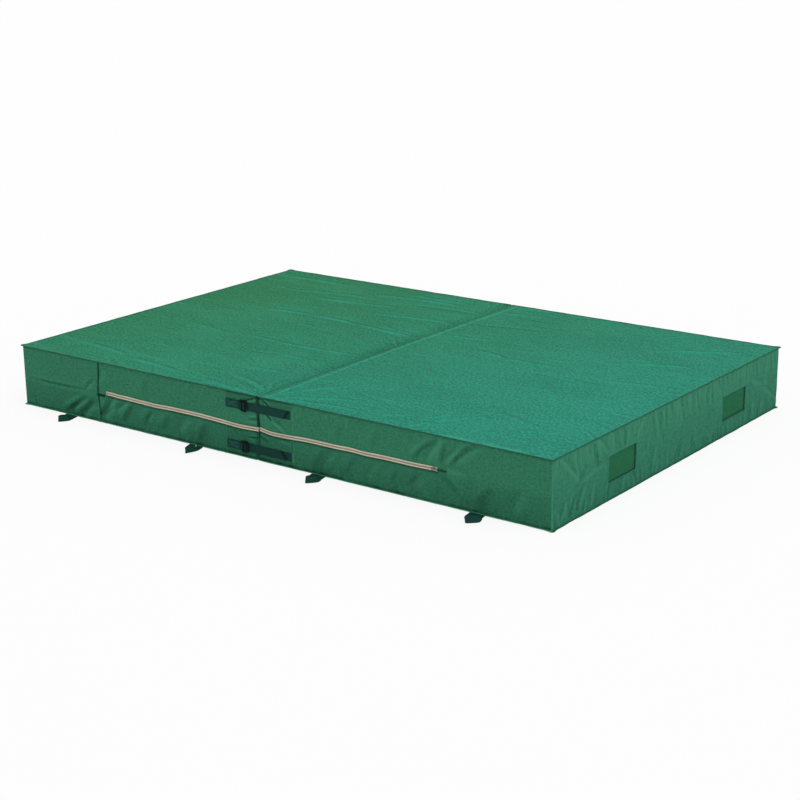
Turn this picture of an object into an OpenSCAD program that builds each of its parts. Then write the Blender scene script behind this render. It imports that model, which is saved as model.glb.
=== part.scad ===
// Folding crash landing mat: two foam blocks in one sewn cover that folds in half at the top sheet,
// with strap closures over the fold, carry loops along the base and a long zip in the front wall.
// Origin: middle of the footprint, on the floor. X runs along the length, the zip side faces -Y.
// On a wall, "out" is the distance that a piece stands out of the wall's outer face.

/* [Mat] */
// Length of the whole mat
mat_length = 3000; // [2700:10:3600]
// Width of the whole mat
mat_width = 2000; // [1600:10:2400]
// Height of the mat
mat_height = 300; // [290:5:400]
// Gap between the two halves at the fold
fold_gap = 0.8; // [0.6:0.1:2]

/* [Cover] */
// Thickness of the coated fabric
cover_t = 1.2; // [0.8:0.1:2]
// Slack between the foam and the cover's side walls
foam_slack = 7; // [6.5:0.5:12]
// Slack between the foam and the top sheet
foam_top_slack = 0.3; // [0.3:0.1:4]
// Distance of the vertical seam in the left front wall from the fold
wall_seam_x = 992; // [970:1:1200]
// How far the top seam's flange stands out
top_flange = 6; // [3:0.5:9]
// How far the base seam's flange stands out
base_flange = 5; // [3:0.5:8]
// Thickness of a seam flange
flange_t = 2.6; // [2:0.1:4]
// Distance of a seam flange from the mat's top or base face
flange_inset = 3; // [2:0.5:6]

/* [Fold patch] */
// Thickness of the reinforcing patch over the fold
patch_t = 1; // [0.6:0.1:2]
// Reach of the patch to the left of the fold
patch_left = 191; // [189:1:260]
// Reach of the patch to the right of the fold
patch_right = 203; // [190:1:260]
// Gap between the patch and the seam flanges
patch_gap = 1; // [0.5:0.5:6]

/* [Vents] */
// Width of a vent window
vent_width = 215; // [120:5:240]
// Height of a vent window
vent_height = 107; // [60:1:130]
// Height of a vent's middle above the floor
vent_z = 137; // [100:1:180]
// Distance of the front vent's middle from the mat's centre line
vent_front_y = 470; // [300:5:600]
// Distance of the back vent's middle from the mat's centre line
vent_back_y = 538; // [300:1:600]
// Overlap of the mesh behind the window's edge
vent_lap = 12; // [6:1:20]
// Thickness of the mesh
vent_mesh_t = 0.8; // [0.5:0.1:1.5]
// Corner radius of a vent window
vent_corner_r = 6; // [2:1:15]

/* [Webbing closures] */
// Width of the webbing
web_w = 38; // [25:1:50]
// Thickness of the webbing
web_t = 1.5; // [1:0.1:2]
// Distance of the upper strap's middle from the top of the mat
strap_high_drop = 60; // [50:1:80]
// Height of the lower strap's middle above the floor
strap_low_z = 53; // [40:1:70]
// Distance of the anchor strap's sewn end from the fold
anchor_end_x = 185; // [150:1:188]
// Distance of the closing strap's sewn end from the fold
strap_end_x = 185; // [150:1:188]
// Distance of the upper tail's cut end from the fold, at its middle
tail_high_x = 162; // [60:1:165]
// Distance of the lower tail's cut end from the fold, at its middle
tail_low_x = 144; // [60:1:165]
// How far one edge of a tail is cut back from the other
tail_cut = 29; // [0:1:34]
// Clearance between a strap and what it lies on or passes
strap_clear = 0.3; // [0.2:0.05:0.5]
// Room between the middle bar and the strap that rises behind it
rise_clear = 1; // [0.6:0.1:1.2]
// Room between the middle bar and the tail that comes down in front of it
fall_clear = 0.5; // [0.4:0.1:0.8]
// Radius of the bend where the strap rises
rise_r = 2.5; // [1.5:0.1:3]
// Radius of the bend where the tail comes down
fall_r = 1.6; // [1:0.1:2]

/* [Ladder lock] */
// Distance of the lock's anchor bar from the fold
lock_x = 92; // [80:1:110]
// Radius of the round anchor bar
lock_bar_r = 2.5; // [2:0.1:3]
// Distance from the anchor bar to the middle bar
lock_mid_pitch = 15; // [14:0.5:18]
// Width of the middle bar
lock_mid_w = 5; // [4:0.5:6]
// Thickness of the middle bar
lock_mid_t = 3; // [2.4:0.1:4]
// Distance from the anchor bar to the front bar's inner edge
lock_front_pitch = 23.5; // [23:0.5:28]
// Width of the front bar
lock_front_w = 6.5; // [5:0.5:9]
// Thickness of a side rail
lock_rail_t = 5; // [3:0.5:7]
// Room between the webbing and a side rail
lock_side_clear = 1.5; // [0.8:0.1:3]
// Height of a side rail above the patch
lock_rail_h = 8; // [7.2:0.1:9]
// Length of the lifting tab in front of the front bar
lock_tab = 6; // [3:0.5:10]
// Angle through which the lock tilts when its tab is lifted, under the strap's curl
lock_tilt = 12; // [4:1:12]
// Gap between a tooth and the next
tooth_pitch = 2; // [1.5:0.1:3]
// Height of a tooth or grip rib
tooth_h = 0.7; // [0.4:0.1:1]

/* [Carry loops] */
// Distance of the inner loops from the fold
loop_inner_x = 350; // [300:5:600]
// Distance of the outer loops from the fold
loop_outer_x = 1160; // [800:5:1250]
// Width of the loop where it is sewn into the base seam
loop_root_w = 76; // [60:1:90]
// How far a loop stands out of the wall
loop_reach = 114; // [95:1:140]
// Height of a loop's standing band
loop_band_w = 25; // [20:1:32]
// Thickness of a loop's webbing
loop_t = 2.2; // [1.6:0.1:3]
// How far a loop's nose lies to the right of its root
loop_skew = 18; // [0:1:24]
// Radius of a loop's nose
loop_nose_r = 4; // [3:0.5:8]
// Radius of the rolled hem that a loop turns about
loop_hem_r = 2; // [1.6:0.1:2.6]
// Depth of the folded tab that the hem holds
hem_tab = 9; // [6:1:14]
// Running clearance between the hem and the base flange
loop_gap = 0.3; // [0.2:0.05:0.6]
// Distance from the wall at which the band stands at its full height
loop_rise = 62; // [55:1:70]

/* [Zip] */
// Height of the zip's middle above the floor
zip_z = 150; // [130:1:160]
// Distance of the slot's left end from the fold
zip_left = 941; // [800:1:950]
// Distance of the slot's right end from the fold
zip_right = 956; // [800:1:1300]
// Height of the slot in the wall
zip_slot = 25; // [20:1:32]
// Lap of the tape behind the slot's edge
zip_lap = 8; // [5:1:12]
// Length of tape sewn behind the wall past the slot
zip_tail = 12; // [6:1:16]
// Thickness of the tape
tape_t = 1; // [0.6:0.1:1.2]
// Parting between the two sides of the zip
zip_parting = 1.6; // [1.2:0.1:2.4]
// Height of one coil's section
coil_h = 3.2; // [2.4:0.1:4]
// How far a coil stands out of the tape
coil_out = 2.4; // [1.8:0.1:3]
// Length of an end stop
stop_len = 5; // [3:0.5:8]
// Running clearance of the slider
slider_clear = 0.35; // [0.25:0.05:0.5]
// Length of the slider
slider_len = 20; // [16:1:26]
// Thickness of the slider's plates
slider_t = 1.5; // [1.2:0.1:2]
// Thickness of the slider's side flanges
slider_flange = 1.8; // [1.2:0.1:2.5]
// Length of the bridge on the slider
bridge_len = 12; // [11:1:15]
// Width of the bridge on the slider
bridge_w = 3.2; // [2.6:0.2:4.4]
// Thickness of the bridge
bridge_t = 1.2; // [1:0.1:1.6]
// Radius of the pull's cross bar
pull_bar_r = 1; // [0.8:0.1:1.3]
// Length of the metal pull
pull_len = 26; // [20:1:34]
// Width of the metal pull
pull_w = 8; // [7:0.5:10]
// Length of the tape tab on the pull
tab_len = 44; // [30:1:60]
// Width of the tape tab
tab_w = 5; // [4:0.5:6]
// Thickness of the tab's tape
tab_t = 0.8; // [0.5:0.05:0.9]
// Width of the slot that the tape tab is looped through
pull_slot = 2; // [1.8:0.1:2.5]
// Distance of that slot from the pull's end
pull_rim = 3; // [2:0.5:5]

/* [Hidden] */
$fn = 48;
curve_steps = 12;
EPS = 0.02;
// How far a cutting solid passes the face that it cuts
CUT = 1;
LEFT = -1;
RIGHT = 1;
FRONT = -1;
BACK = 1;

GREEN_TOP = [0.20, 0.54, 0.43];
GREEN_WALL = [0.19, 0.40, 0.32];
GREEN_MESH = [0.17, 0.38, 0.27];
WEBBING = [0.09, 0.18, 0.19];
BLACK = [0.05, 0.07, 0.07];
TAPE = [0.80, 0.70, 0.60];
COIL = [0.50, 0.30, 0.25];
METAL = [0.45, 0.45, 0.42];
FOAM = [0.90, 0.85, 0.55];

half_x = mat_length / 2;
half_y = mat_width / 2;
fold_x = fold_gap / 2;
wall_top = mat_height - cover_t;

// The seam flanges, and the patch between them
base_flange_top = flange_inset + flange_t;
top_flange_under = mat_height - flange_inset - flange_t;
patch_low = base_flange_top + patch_gap;
patch_high = top_flange_under - patch_gap;

// The zip, measured from its own middle line and from the wall's outer face
tape_back = -cover_t - tape_t;
tape_front = -cover_t;
coil_front = tape_front + coil_out;
slot_half = zip_slot / 2;
tape_half = slot_half + zip_lap;
part_half = zip_parting / 2;
coil_half = part_half + coil_h;
slider_in = coil_half + slider_clear;
slider_half = slider_in + slider_flange;
plate_under = coil_front + slider_clear;
plate_top = plate_under + slider_t;
back_plate = tape_back - slider_clear;
slider_x = zip_right - 2 * stop_len - slider_clear - slider_len / 2;
pull_axis_out = plate_top + slider_clear + pull_bar_r;
bridge_under = pull_axis_out + pull_bar_r + slider_clear;
pull_t = 2 * pull_bar_r;
eye_half = bridge_w / 2 + slider_clear;
pull_bar_len = pull_w - pull_bar_r;
coil_chamfer = coil_h / 4;
slider_open_half = 0.75 * slider_half;
slider_closed_half = 0.5 * slider_half;
slider_shoulder_x = slider_len / 4;
slider_web_len = slider_len / 3;

// The strap's route, measured out from the patch and along X from the lock's anchor bar
ring_r = lock_bar_r + strap_clear + web_t;
lock_out = ring_r + strap_clear / 2;
strap_out = strap_clear + web_t / 2;
tail_out = strap_out + web_t + strap_clear;
rise_u = lock_mid_pitch - lock_mid_w / 2 - rise_clear - web_t / 2;
fall_u = lock_mid_pitch + lock_mid_w / 2 + fall_clear + web_t / 2;
curl_r = (fall_u - rise_u) / 2;
curl_out = lock_out + lock_mid_pitch * sin(lock_tilt);
anchor_split = 3 * ring_r;
ring_tuck = web_t / 8;
strap_high_z = mat_height - strap_high_drop;
lock_half = web_w / 2 + lock_side_clear;
front_bar_under = tail_out + web_t / 2 + strap_clear;

// The lock's rails are highest near the anchor bar; teeth and ribs are shares of their pitch
rail_under = 2 * strap_clear;
rail_front_h = 0.85 * lock_rail_h;
rail_crown_h = 1.12 * lock_rail_h;
tooth_root = 0.8 * tooth_pitch;
tooth_tip = 0.2 * tooth_pitch;
rib_pitch = 1.5 * tooth_pitch;
rib_w = 0.8 * web_w;

// The loop, with its hem just outside the base flange
hem_out = base_flange + loop_gap + loop_hem_r;
loop_tip = loop_reach - loop_t / 2;
loop_foot = loop_root_w / 2 - loop_band_w / 4;
left_belly = [-loop_root_w / 6, 0.62 * loop_tip];
right_belly = [0.75 * loop_root_w, 0.55 * loop_tip];

// ---- Placing ----

// Children are drawn on the right half and carried to the given side
module on_side(side) mirror([side < 0 ? 1 : 0, 0, 0]) children();

// Children are drawn with y as the distance out of the wall, and z from the given height
module on_wall(face, z)
    translate([0, face * half_y, z]) mirror([0, face < 0 ? 1 : 0, 0]) children();

// ---- Curves ----

function bezier(a, b, c, t) = (1 - t) * (1 - t) * a + 2 * t * (1 - t) * b + t * t * c;

function bezier_points(a, b, c) = [for (i = [0:curve_steps]) bezier(a, b, c, i / curve_steps)];

function arc_points(centre, r, from, to) =
    [for (i = [0:curve_steps]) let (a = from + (to - from) * i / curve_steps)
        centre + r * [cos(a), sin(a)]];

function unit(v) = v / norm(v);

function without_repeats(route) =
    [for (i = [0:len(route) - 1]) if (i == 0 || norm(route[i] - route[max(i - 1, 0)]) > EPS) route[i]];

// Where a line from point p touches a circle, on its left (1) or right (-1) as seen from the centre
function tangent_point(p, centre, r, turn) =
    let (v = p - centre, a = atan2(v[1], v[0]) + turn * acos(r / norm(v)))
    centre + r * [cos(a), sin(a)];

// The route's direction at point i, as the mean of the stretches that meet there
function heading(route, i) =
    let (last = len(route) - 1, before = max(i, 1), after = min(i, last - 1))
    unit(unit(route[before] - route[before - 1]) + unit(route[after + 1] - route[after]));

function beside(route, i, d) = let (h = heading(route, i)) route[i] + d * [-h[1], h[0]];

// A band of the given thickness along a route in the plane
module band(points, thickness)
    let (route = without_repeats(points))
    polygon([
        for (i = [0:len(route) - 1]) beside(route, i, thickness / 2),
        for (i = [len(route) - 1:-1:0]) beside(route, i, -thickness / 2)
    ]);

// ---- Cover and foam, drawn on the right half ----

module foam_core()
    color(FOAM)
        translate([fold_x + cover_t + foam_slack, -half_y + cover_t + foam_slack, cover_t])
            cube([half_x - fold_x - 2 * (cover_t + foam_slack), mat_width - 2 * (cover_t + foam_slack),
                mat_height - 2 * cover_t - foam_top_slack]);

module sheet_panel(z)
    translate([fold_x, -half_y, z]) cube([half_x - fold_x, mat_width, cover_t]);

module wall_panel(face, from, to)
    on_wall(face, cover_t) translate([from, -cover_t, 0]) cube([to - from, cover_t, wall_top - cover_t]);

module zip_slot_cut(end)
    on_wall(FRONT, zip_z)
        translate([0, -cover_t - CUT, -slot_half]) cube([end, cover_t + patch_t + 2 * CUT, zip_slot]);

module front_wall(to, zip_end)
    color(GREEN_WALL) difference() {
        wall_panel(FRONT, fold_x, to);
        zip_slot_cut(zip_end);
    }

module rounded_window(w, h, r)
    union() {
        square([w - 2 * r, h], center = true);
        square([w, h - 2 * r], center = true);
        for (x = [-1, 1], y = [-1, 1]) translate([x * (w / 2 - r), y * (h / 2 - r)]) circle(r);
    }

// Children are drawn as (y, z) outlines around a vent's middle, and z as the distance out of the wall
module on_end_wall(y)
    translate([half_x, y, vent_z]) rotate([90, 0, 90]) children();

module end_wall()
    color(GREEN_WALL) difference() {
        translate([half_x - cover_t, -half_y + cover_t, cover_t])
            cube([cover_t, mat_width - 2 * cover_t, wall_top - cover_t]);
        for (y = [-vent_front_y, vent_back_y]) on_end_wall(y)
            translate([0, 0, -cover_t - CUT]) linear_extrude(cover_t + 2 * CUT)
                rounded_window(vent_width, vent_height, vent_corner_r);
    }

module vent_mesh(y)
    color(GREEN_MESH) on_end_wall(y) translate([0, 0, -cover_t - vent_mesh_t])
        linear_extrude(vent_mesh_t)
            rounded_window(vent_width + 2 * vent_lap, vent_height + 2 * vent_lap, vent_corner_r + vent_lap);

// The wall at the fold is notched where the zip and its slider pass
module fold_wall()
    color(GREEN_WALL) difference() {
        translate([fold_x, -half_y + cover_t, cover_t])
            cube([cover_t, mat_width - 2 * cover_t, wall_top - cover_t]);
        translate([0, -half_y, zip_z - tape_half - slider_clear])
            cube([fold_x + cover_t + CUT, cover_t + foam_slack, 2 * (tape_half + slider_clear)]);
    }

module patch(face, width)
    color(GREEN_WALL) difference() {
        on_wall(face, patch_low) translate([fold_x, 0, 0])
            cube([width - fold_x, patch_t, patch_high - patch_low]);
        if (face == FRONT) zip_slot_cut(width + CUT);
    }

// A seam's flange runs round three sides of a half, open at the fold
module flange(z, out)
    translate([0, 0, z]) difference() {
        translate([fold_x, -half_y - out, 0]) cube([half_x + out - fold_x, mat_width + 2 * out, flange_t]);
        translate([-CUT, -half_y, -CUT]) cube([half_x + CUT, mat_width, flange_t + 2 * CUT]);
    }

// ---- Zip, drawn on the right half ----

// Two strips with a parting for the slider, joined where the tape is sewn down past the slot
module zip_tape(end)
    color(TAPE) on_wall(FRONT, zip_z) translate([0, tape_back, 0]) {
        difference() {
            translate([fold_x, 0, -tape_half]) cube([end + zip_tail - fold_x, tape_t, 2 * tape_half]);
            translate([-CUT, -CUT, -part_half]) cube([end + CUT, tape_t + 2 * CUT, zip_parting]);
        }
    }

module coil_section()
    polygon([
        [tape_front, part_half], [coil_front - coil_chamfer, part_half],
        [coil_front, part_half + coil_chamfer], [coil_front, coil_half - coil_chamfer],
        [coil_front - coil_chamfer, coil_half], [tape_front, coil_half]
    ]);

module zip_coil(end)
    color(COIL) on_wall(FRONT, zip_z) translate([fold_x, 0, 0]) rotate([90, 0, 90])
        linear_extrude(end - 2 * stop_len - fold_x)
            for (up = [0, 1]) mirror([0, up]) coil_section();

// The stop bridges both sides of the zip, so the slider meets it before the coil's end
module zip_stop(end)
    color(METAL) on_wall(FRONT, zip_z)
        translate([end - 2 * stop_len, tape_front, -coil_half]) cube([stop_len, coil_out, 2 * coil_half]);

// Channel round the coils: front plate with flanges, back plate, and a web through the parting
module slider_section()
    union() {
        translate([plate_under, -slider_half]) square([slider_t, 2 * slider_half]);
        translate([back_plate - slider_t, -slider_half]) square([slider_t, 2 * slider_half]);
        for (up = [0, 1]) mirror([0, up])
            translate([tape_front + slider_clear, slider_in])
                square([plate_under - tape_front - slider_clear + EPS, slider_flange]);
    }

// Seen from the front, the slider is rounded at its ends and waisted towards the closed side
module slider_outline()
    polygon(concat(
        bezier_points([-slider_len / 2, -slider_open_half], [-slider_len / 2, -slider_half],
            [0, -slider_half]),
        bezier_points([slider_shoulder_x, -slider_half], [slider_len / 2, -slider_half],
            [slider_len / 2, -slider_closed_half]),
        bezier_points([slider_len / 2, slider_closed_half], [slider_len / 2, slider_half],
            [slider_shoulder_x, slider_half]),
        bezier_points([0, slider_half], [-slider_len / 2, slider_half], [-slider_len / 2, slider_open_half])
    ));

module slider_bridge()
    difference() {
        translate([-bridge_len / 2, plate_top - EPS, -bridge_w / 2])
            cube([bridge_len, bridge_under + bridge_t - plate_top + EPS, bridge_w]);
        translate([-bridge_len / 2 + bridge_t, plate_top, -bridge_w])
            cube([bridge_len - 2 * bridge_t, bridge_under - plate_top, 2 * bridge_w]);
    }

module zip_slider()
    color(METAL) on_wall(FRONT, zip_z) translate([slider_x, 0, 0]) {
        intersection() {
            translate([-slider_len / 2, 0, 0]) rotate([90, 0, 90])
                linear_extrude(slider_len) slider_section();
            translate([0, plate_top + CUT, 0]) rotate([90, 0, 0])
                linear_extrude(plate_top - back_plate + slider_t + 2 * CUT) slider_outline();
        }
        translate([0, back_plate - EPS, -part_half + slider_clear])
            cube([slider_web_len, plate_under - back_plate + 2 * EPS, zip_parting - 2 * slider_clear]);
        slider_bridge();
    }

// The pull's eye passes under the bridge on a round bar, which is the pull's hinge
module zip_pull()
    color(METAL) on_wall(FRONT, zip_z) translate([slider_x, pull_axis_out, 0]) {
        cylinder(r = pull_bar_r, h = pull_bar_len, center = true);
        for (side = [-1, 1]) translate([0, -pull_bar_r, side > 0 ? eye_half : -pull_w / 2])
            cube([bridge_len, pull_t, pull_w / 2 - eye_half]);
        difference() {
            translate([bridge_len - EPS, -pull_bar_r, -pull_w / 2])
                cube([pull_len - bridge_len, pull_t, pull_w]);
            translate([pull_len - pull_rim - pull_slot, -pull_bar_r - CUT, -tab_w / 2 - slider_clear])
                cube([pull_slot, pull_t + 2 * CUT, tab_w + 2 * slider_clear]);
        }
    }

// A folded tape looped through the slot in the pull's end
module zip_pull_tab()
    color(GREEN_WALL) on_wall(FRONT, zip_z)
        translate([slider_x + pull_len - pull_rim - pull_slot + slider_clear, pull_axis_out, 0])
            difference() {
                translate([0, -pull_bar_r - slider_clear - tab_t, -tab_w / 2])
                    cube([tab_len, pull_t + 2 * (slider_clear + tab_t), tab_w]);
                translate([tab_t, -pull_bar_r - slider_clear, -tab_w / 2 - CUT])
                    cube([pull_rim + pull_slot - tab_t, pull_t + 2 * slider_clear, tab_w + 2 * CUT]);
            }

// ---- Webbing closures ----

// Sewn flat on the patch in two layers, then looped round the lock's anchor bar
module anchor_strap(face, z)
    let (bar = [0, lock_out], end = lock_x - anchor_end_x, split = -anchor_split, r = ring_r - ring_tuck)
    color(WEBBING) on_wall(face, z) translate([-lock_x, patch_t, 0]) difference() {
        union() {
            linear_extrude(web_w, center = true)
                polygon([[end, 0], [end, 2 * web_t], [split, 2 * web_t],
                    tangent_point([split, 2 * web_t], bar, r, -1), bar,
                    tangent_point([split, 0], bar, r, 1), [split, 0]]);
            translate(bar) cylinder(r = ring_r, h = web_w, center = true);
        }
        translate(bar) cylinder(r = lock_bar_r + strap_clear, h = web_w + 2 * CUT, center = true);
    }

// From the sewn end over the fold, up round the middle bar and back under the front bar. The curl
// stands as high above the middle bar as that bar rises when the lock tilts
function strap_route(tail_x) = concat(
    [[strap_end_x, strap_out]],
    arc_points([rise_u + rise_r - lock_x, strap_out + rise_r], rise_r, -90, -180),
    arc_points([rise_u + curl_r - lock_x, curl_out], curl_r, 180, 0),
    arc_points([fall_u + fall_r - lock_x, tail_out + fall_r], fall_r, 180, 270),
    [[tail_x + tail_cut / 2, tail_out]]
);

// The tail is cut at a slant: its lower edge is the shorter one, and lean -1 turns that round
module closing_strap(face, z, tail_x, lean)
    color(WEBBING) on_wall(face, z) translate([0, patch_t, 0]) difference() {
        linear_extrude(web_w, center = true) band(strap_route(tail_x), web_t);
        translate([tail_x, tail_out - web_t / 2 - strap_clear / 2, 0]) rotate([90, 0, 0])
            mirror([0, lean < 0 ? 1 : 0, 0]) translate([0, 0, -2 * web_t])
                linear_extrude(2 * web_t) polygon([
                    [-tail_cut / 2, -web_w], [-tail_cut / 2, -web_w / 2], [tail_cut / 2, web_w / 2],
                    [tail_cut, web_w / 2 + CUT], [tail_cut, -web_w]
                ]);
    }

// ---- Ladder lock, drawn with x from its anchor bar and y out of the patch ----

module lock_rail_outline()
    union() {
        translate([0, lock_out]) circle(lock_out - rail_under);
        polygon(concat(
            [[0, rail_under], [lock_front_pitch + lock_front_w / 2, rail_under]],
            bezier_points([lock_front_pitch + lock_front_w / 2, rail_under],
                [lock_front_pitch + lock_front_w, rail_under],
                [lock_front_pitch + lock_front_w, front_bar_under + tooth_h]),
            bezier_points([lock_front_pitch + lock_front_w, rail_front_h],
                [lock_mid_pitch, rail_crown_h], [0, 2 * lock_out - rail_under])
        ));
    }

module lock_mid_bar_outline()
    translate([lock_mid_pitch, lock_out]) union() {
        square([lock_mid_w - lock_mid_t, lock_mid_t], center = true);
        for (side = [-1, 1]) translate([side * (lock_mid_w - lock_mid_t) / 2, 0]) circle(lock_mid_t / 2);
    }

// The front bar bites the tail with a row of teeth, and sweeps up into the lifting tab
module lock_front_bar_outline()
    let (x0 = lock_front_pitch, x1 = lock_front_pitch + lock_front_w, under = front_bar_under + tooth_h)
    union() {
        polygon(concat(
            [[x0, under]],
            bezier_points([x1, under], [x1 + lock_tab / 2, under], [x1 + lock_tab, lock_rail_h + tooth_h]),
            bezier_points([x1 + lock_tab - tooth_h, lock_rail_h + 2 * tooth_h], [x1, lock_rail_h - tooth_h],
                [x0 + tooth_pitch, lock_rail_h - tooth_h]),
            [[x0, lock_rail_h - tooth_pitch]]
        ));
        for (i = [0:floor((lock_front_w - tooth_pitch) / tooth_pitch)])
            translate([x0 + i * tooth_pitch, under])
                polygon([[0, EPS], [tooth_root, EPS], [tooth_tip, -tooth_h]]);
    }

module lock_grip_ribs()
    for (i = [1:2]) translate([lock_front_pitch + i * rib_pitch, lock_rail_h - tooth_h])
        circle(tooth_h);

module lock_body()
    union() {
        for (side = [0, 1]) mirror([0, 0, side]) translate([0, 0, lock_half])
            linear_extrude(lock_rail_t) lock_rail_outline();
        translate([0, lock_out, 0]) cylinder(r = lock_bar_r, h = 2 * lock_half + lock_rail_t, center = true);
        linear_extrude(2 * lock_half + EPS, center = true) {
            lock_mid_bar_outline();
            lock_front_bar_outline();
        }
        linear_extrude(rib_w, center = true) lock_grip_ribs();
    }

module ladder_lock(face, z)
    color(BLACK) on_wall(face, z) translate([-lock_x, patch_t, 0]) lock_body();

// ---- Carry loops, drawn with x from the loop's middle, y out of the wall and z from the floor ----

function loop_route() =
    let (nose = [loop_skew, loop_tip - loop_nose_r])
    concat(
        bezier_points([-loop_foot, hem_out], left_belly, nose - [loop_nose_r, 0]),
        arc_points(nose, loop_nose_r, 180, 0),
        bezier_points(nose + [loop_nose_r, 0], right_belly, [loop_foot, hem_out])
    );

// The legs lie flat in the seam and turn on edge towards the nose, so they rise along a slope
module loop_rise_outline()
    polygon([[0, 0], [loop_reach + CUT, 0], [loop_reach + CUT, loop_band_w], [loop_rise, loop_band_w],
        [hem_out, 2 * loop_hem_r], [0, 2 * loop_hem_r]]);

module carry_loop(face, x)
    color(WEBBING) on_wall(face, 0) translate([x, 0, 0]) {
        intersection() {
            linear_extrude(loop_band_w) band(loop_route(), loop_t);
            translate([-loop_root_w, 0, 0]) rotate([90, 0, 90])
                linear_extrude(2 * loop_root_w) loop_rise_outline();
        }
        translate([-loop_root_w / 2, hem_out, loop_hem_r - loop_t / 2]) cube([loop_root_w, hem_tab, loop_t]);
        translate([0, hem_out, loop_hem_r]) rotate([0, 90, 0])
            cylinder(r = loop_hem_r, h = loop_root_w, center = true);
    }

// ---- Nodes ----

module sheet(side, z) color(GREEN_TOP) on_side(side) sheet_panel(z);
module wall(side, face) color(GREEN_WALL) on_side(side) wall_panel(face, fold_x, half_x);
module top_flange_part(side) color(GREEN_WALL) on_side(side) flange(top_flange_under, top_flange);
module base_flange_part(side) color(GREEN_WALL) on_side(side) flange(flange_inset, base_flange);

module end_panel() color(GREEN_WALL) on_side(LEFT) wall_panel(FRONT, wall_seam_x, half_x);

on_side(LEFT) foam_core();  // foam_core_left
sheet(LEFT, 0);  // base_panel_left
sheet(LEFT, wall_top);  // top_panel_left
end_panel();  // front_wall_end_panel
on_side(LEFT) front_wall(wall_seam_x, zip_left);  // front_wall_left
wall(LEFT, BACK);  // back_wall_left
on_side(LEFT) end_wall();  // end_wall_left
on_side(LEFT) fold_wall();  // fold_wall_left
on_side(LEFT) patch(FRONT, patch_left);  // front_patch_left
on_side(LEFT) patch(BACK, patch_left);  // back_patch_left
on_side(LEFT) vent_mesh(-vent_front_y);  // vent_mesh_left_front
on_side(LEFT) vent_mesh(vent_back_y);  // vent_mesh_left_back
top_flange_part(LEFT);  // top_flange_left
base_flange_part(LEFT);  // base_flange_left
on_side(LEFT) zip_tape(zip_left);  // zip_tape_left
on_side(LEFT) zip_coil(zip_left);  // zip_coil_left
on_side(LEFT) zip_stop(zip_left);  // zip_stop_left
anchor_strap(FRONT, strap_high_z);  // anchor_strap_front_high
anchor_strap(FRONT, strap_low_z);  // anchor_strap_front_low
anchor_strap(BACK, strap_high_z);  // anchor_strap_back_high
anchor_strap(BACK, strap_low_z);  // anchor_strap_back_low

foam_core();  // foam_core_right
sheet(RIGHT, 0);  // base_panel_right
sheet(RIGHT, wall_top);  // top_panel_right
front_wall(half_x, zip_right);  // front_wall_right
wall(RIGHT, BACK);  // back_wall_right
end_wall();  // end_wall_right
fold_wall();  // fold_wall_right
patch(FRONT, patch_right);  // front_patch_right
patch(BACK, patch_right);  // back_patch_right
vent_mesh(-vent_front_y);  // vent_mesh_right_front
vent_mesh(vent_back_y);  // vent_mesh_right_back
top_flange_part(RIGHT);  // top_flange_right
base_flange_part(RIGHT);  // base_flange_right
zip_tape(zip_right);  // zip_tape_right
zip_coil(zip_right);  // zip_coil_right
zip_stop(zip_right);  // zip_stop_right
closing_strap(FRONT, strap_high_z, tail_high_x, 1);  // closing_strap_front_high
closing_strap(FRONT, strap_low_z, tail_low_x, -1);  // closing_strap_front_low
closing_strap(BACK, strap_high_z, tail_high_x, 1);  // closing_strap_back_high
closing_strap(BACK, strap_low_z, tail_low_x, -1);  // closing_strap_back_low

ladder_lock(FRONT, strap_high_z);  // ladder_lock_front_high
ladder_lock(FRONT, strap_low_z);  // ladder_lock_front_low
ladder_lock(BACK, strap_high_z);  // ladder_lock_back_high
ladder_lock(BACK, strap_low_z);  // ladder_lock_back_low

carry_loop(FRONT, -loop_outer_x);  // carry_loop_front_left_outer
carry_loop(FRONT, -loop_inner_x);  // carry_loop_front_left_inner
carry_loop(FRONT, loop_inner_x);  // carry_loop_front_right_inner
carry_loop(FRONT, loop_outer_x);  // carry_loop_front_right_outer
carry_loop(BACK, -loop_outer_x);  // carry_loop_back_left_outer
carry_loop(BACK, -loop_inner_x);  // carry_loop_back_left_inner
carry_loop(BACK, loop_inner_x);  // carry_loop_back_right_inner
carry_loop(BACK, loop_outer_x);  // carry_loop_back_right_outer

zip_slider();
zip_pull();
zip_pull_tab();
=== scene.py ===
"""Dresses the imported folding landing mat: sewn cover, straps, zip, carry loops, stage and camera.

The CAD nodes give every place. On a wall, "out" is the distance that a thing stands out of its face.
"""

import math

import bpy
import numpy as np
from mathutils import Matrix, Vector
from mathutils.bvhtree import BVHTree


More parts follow.
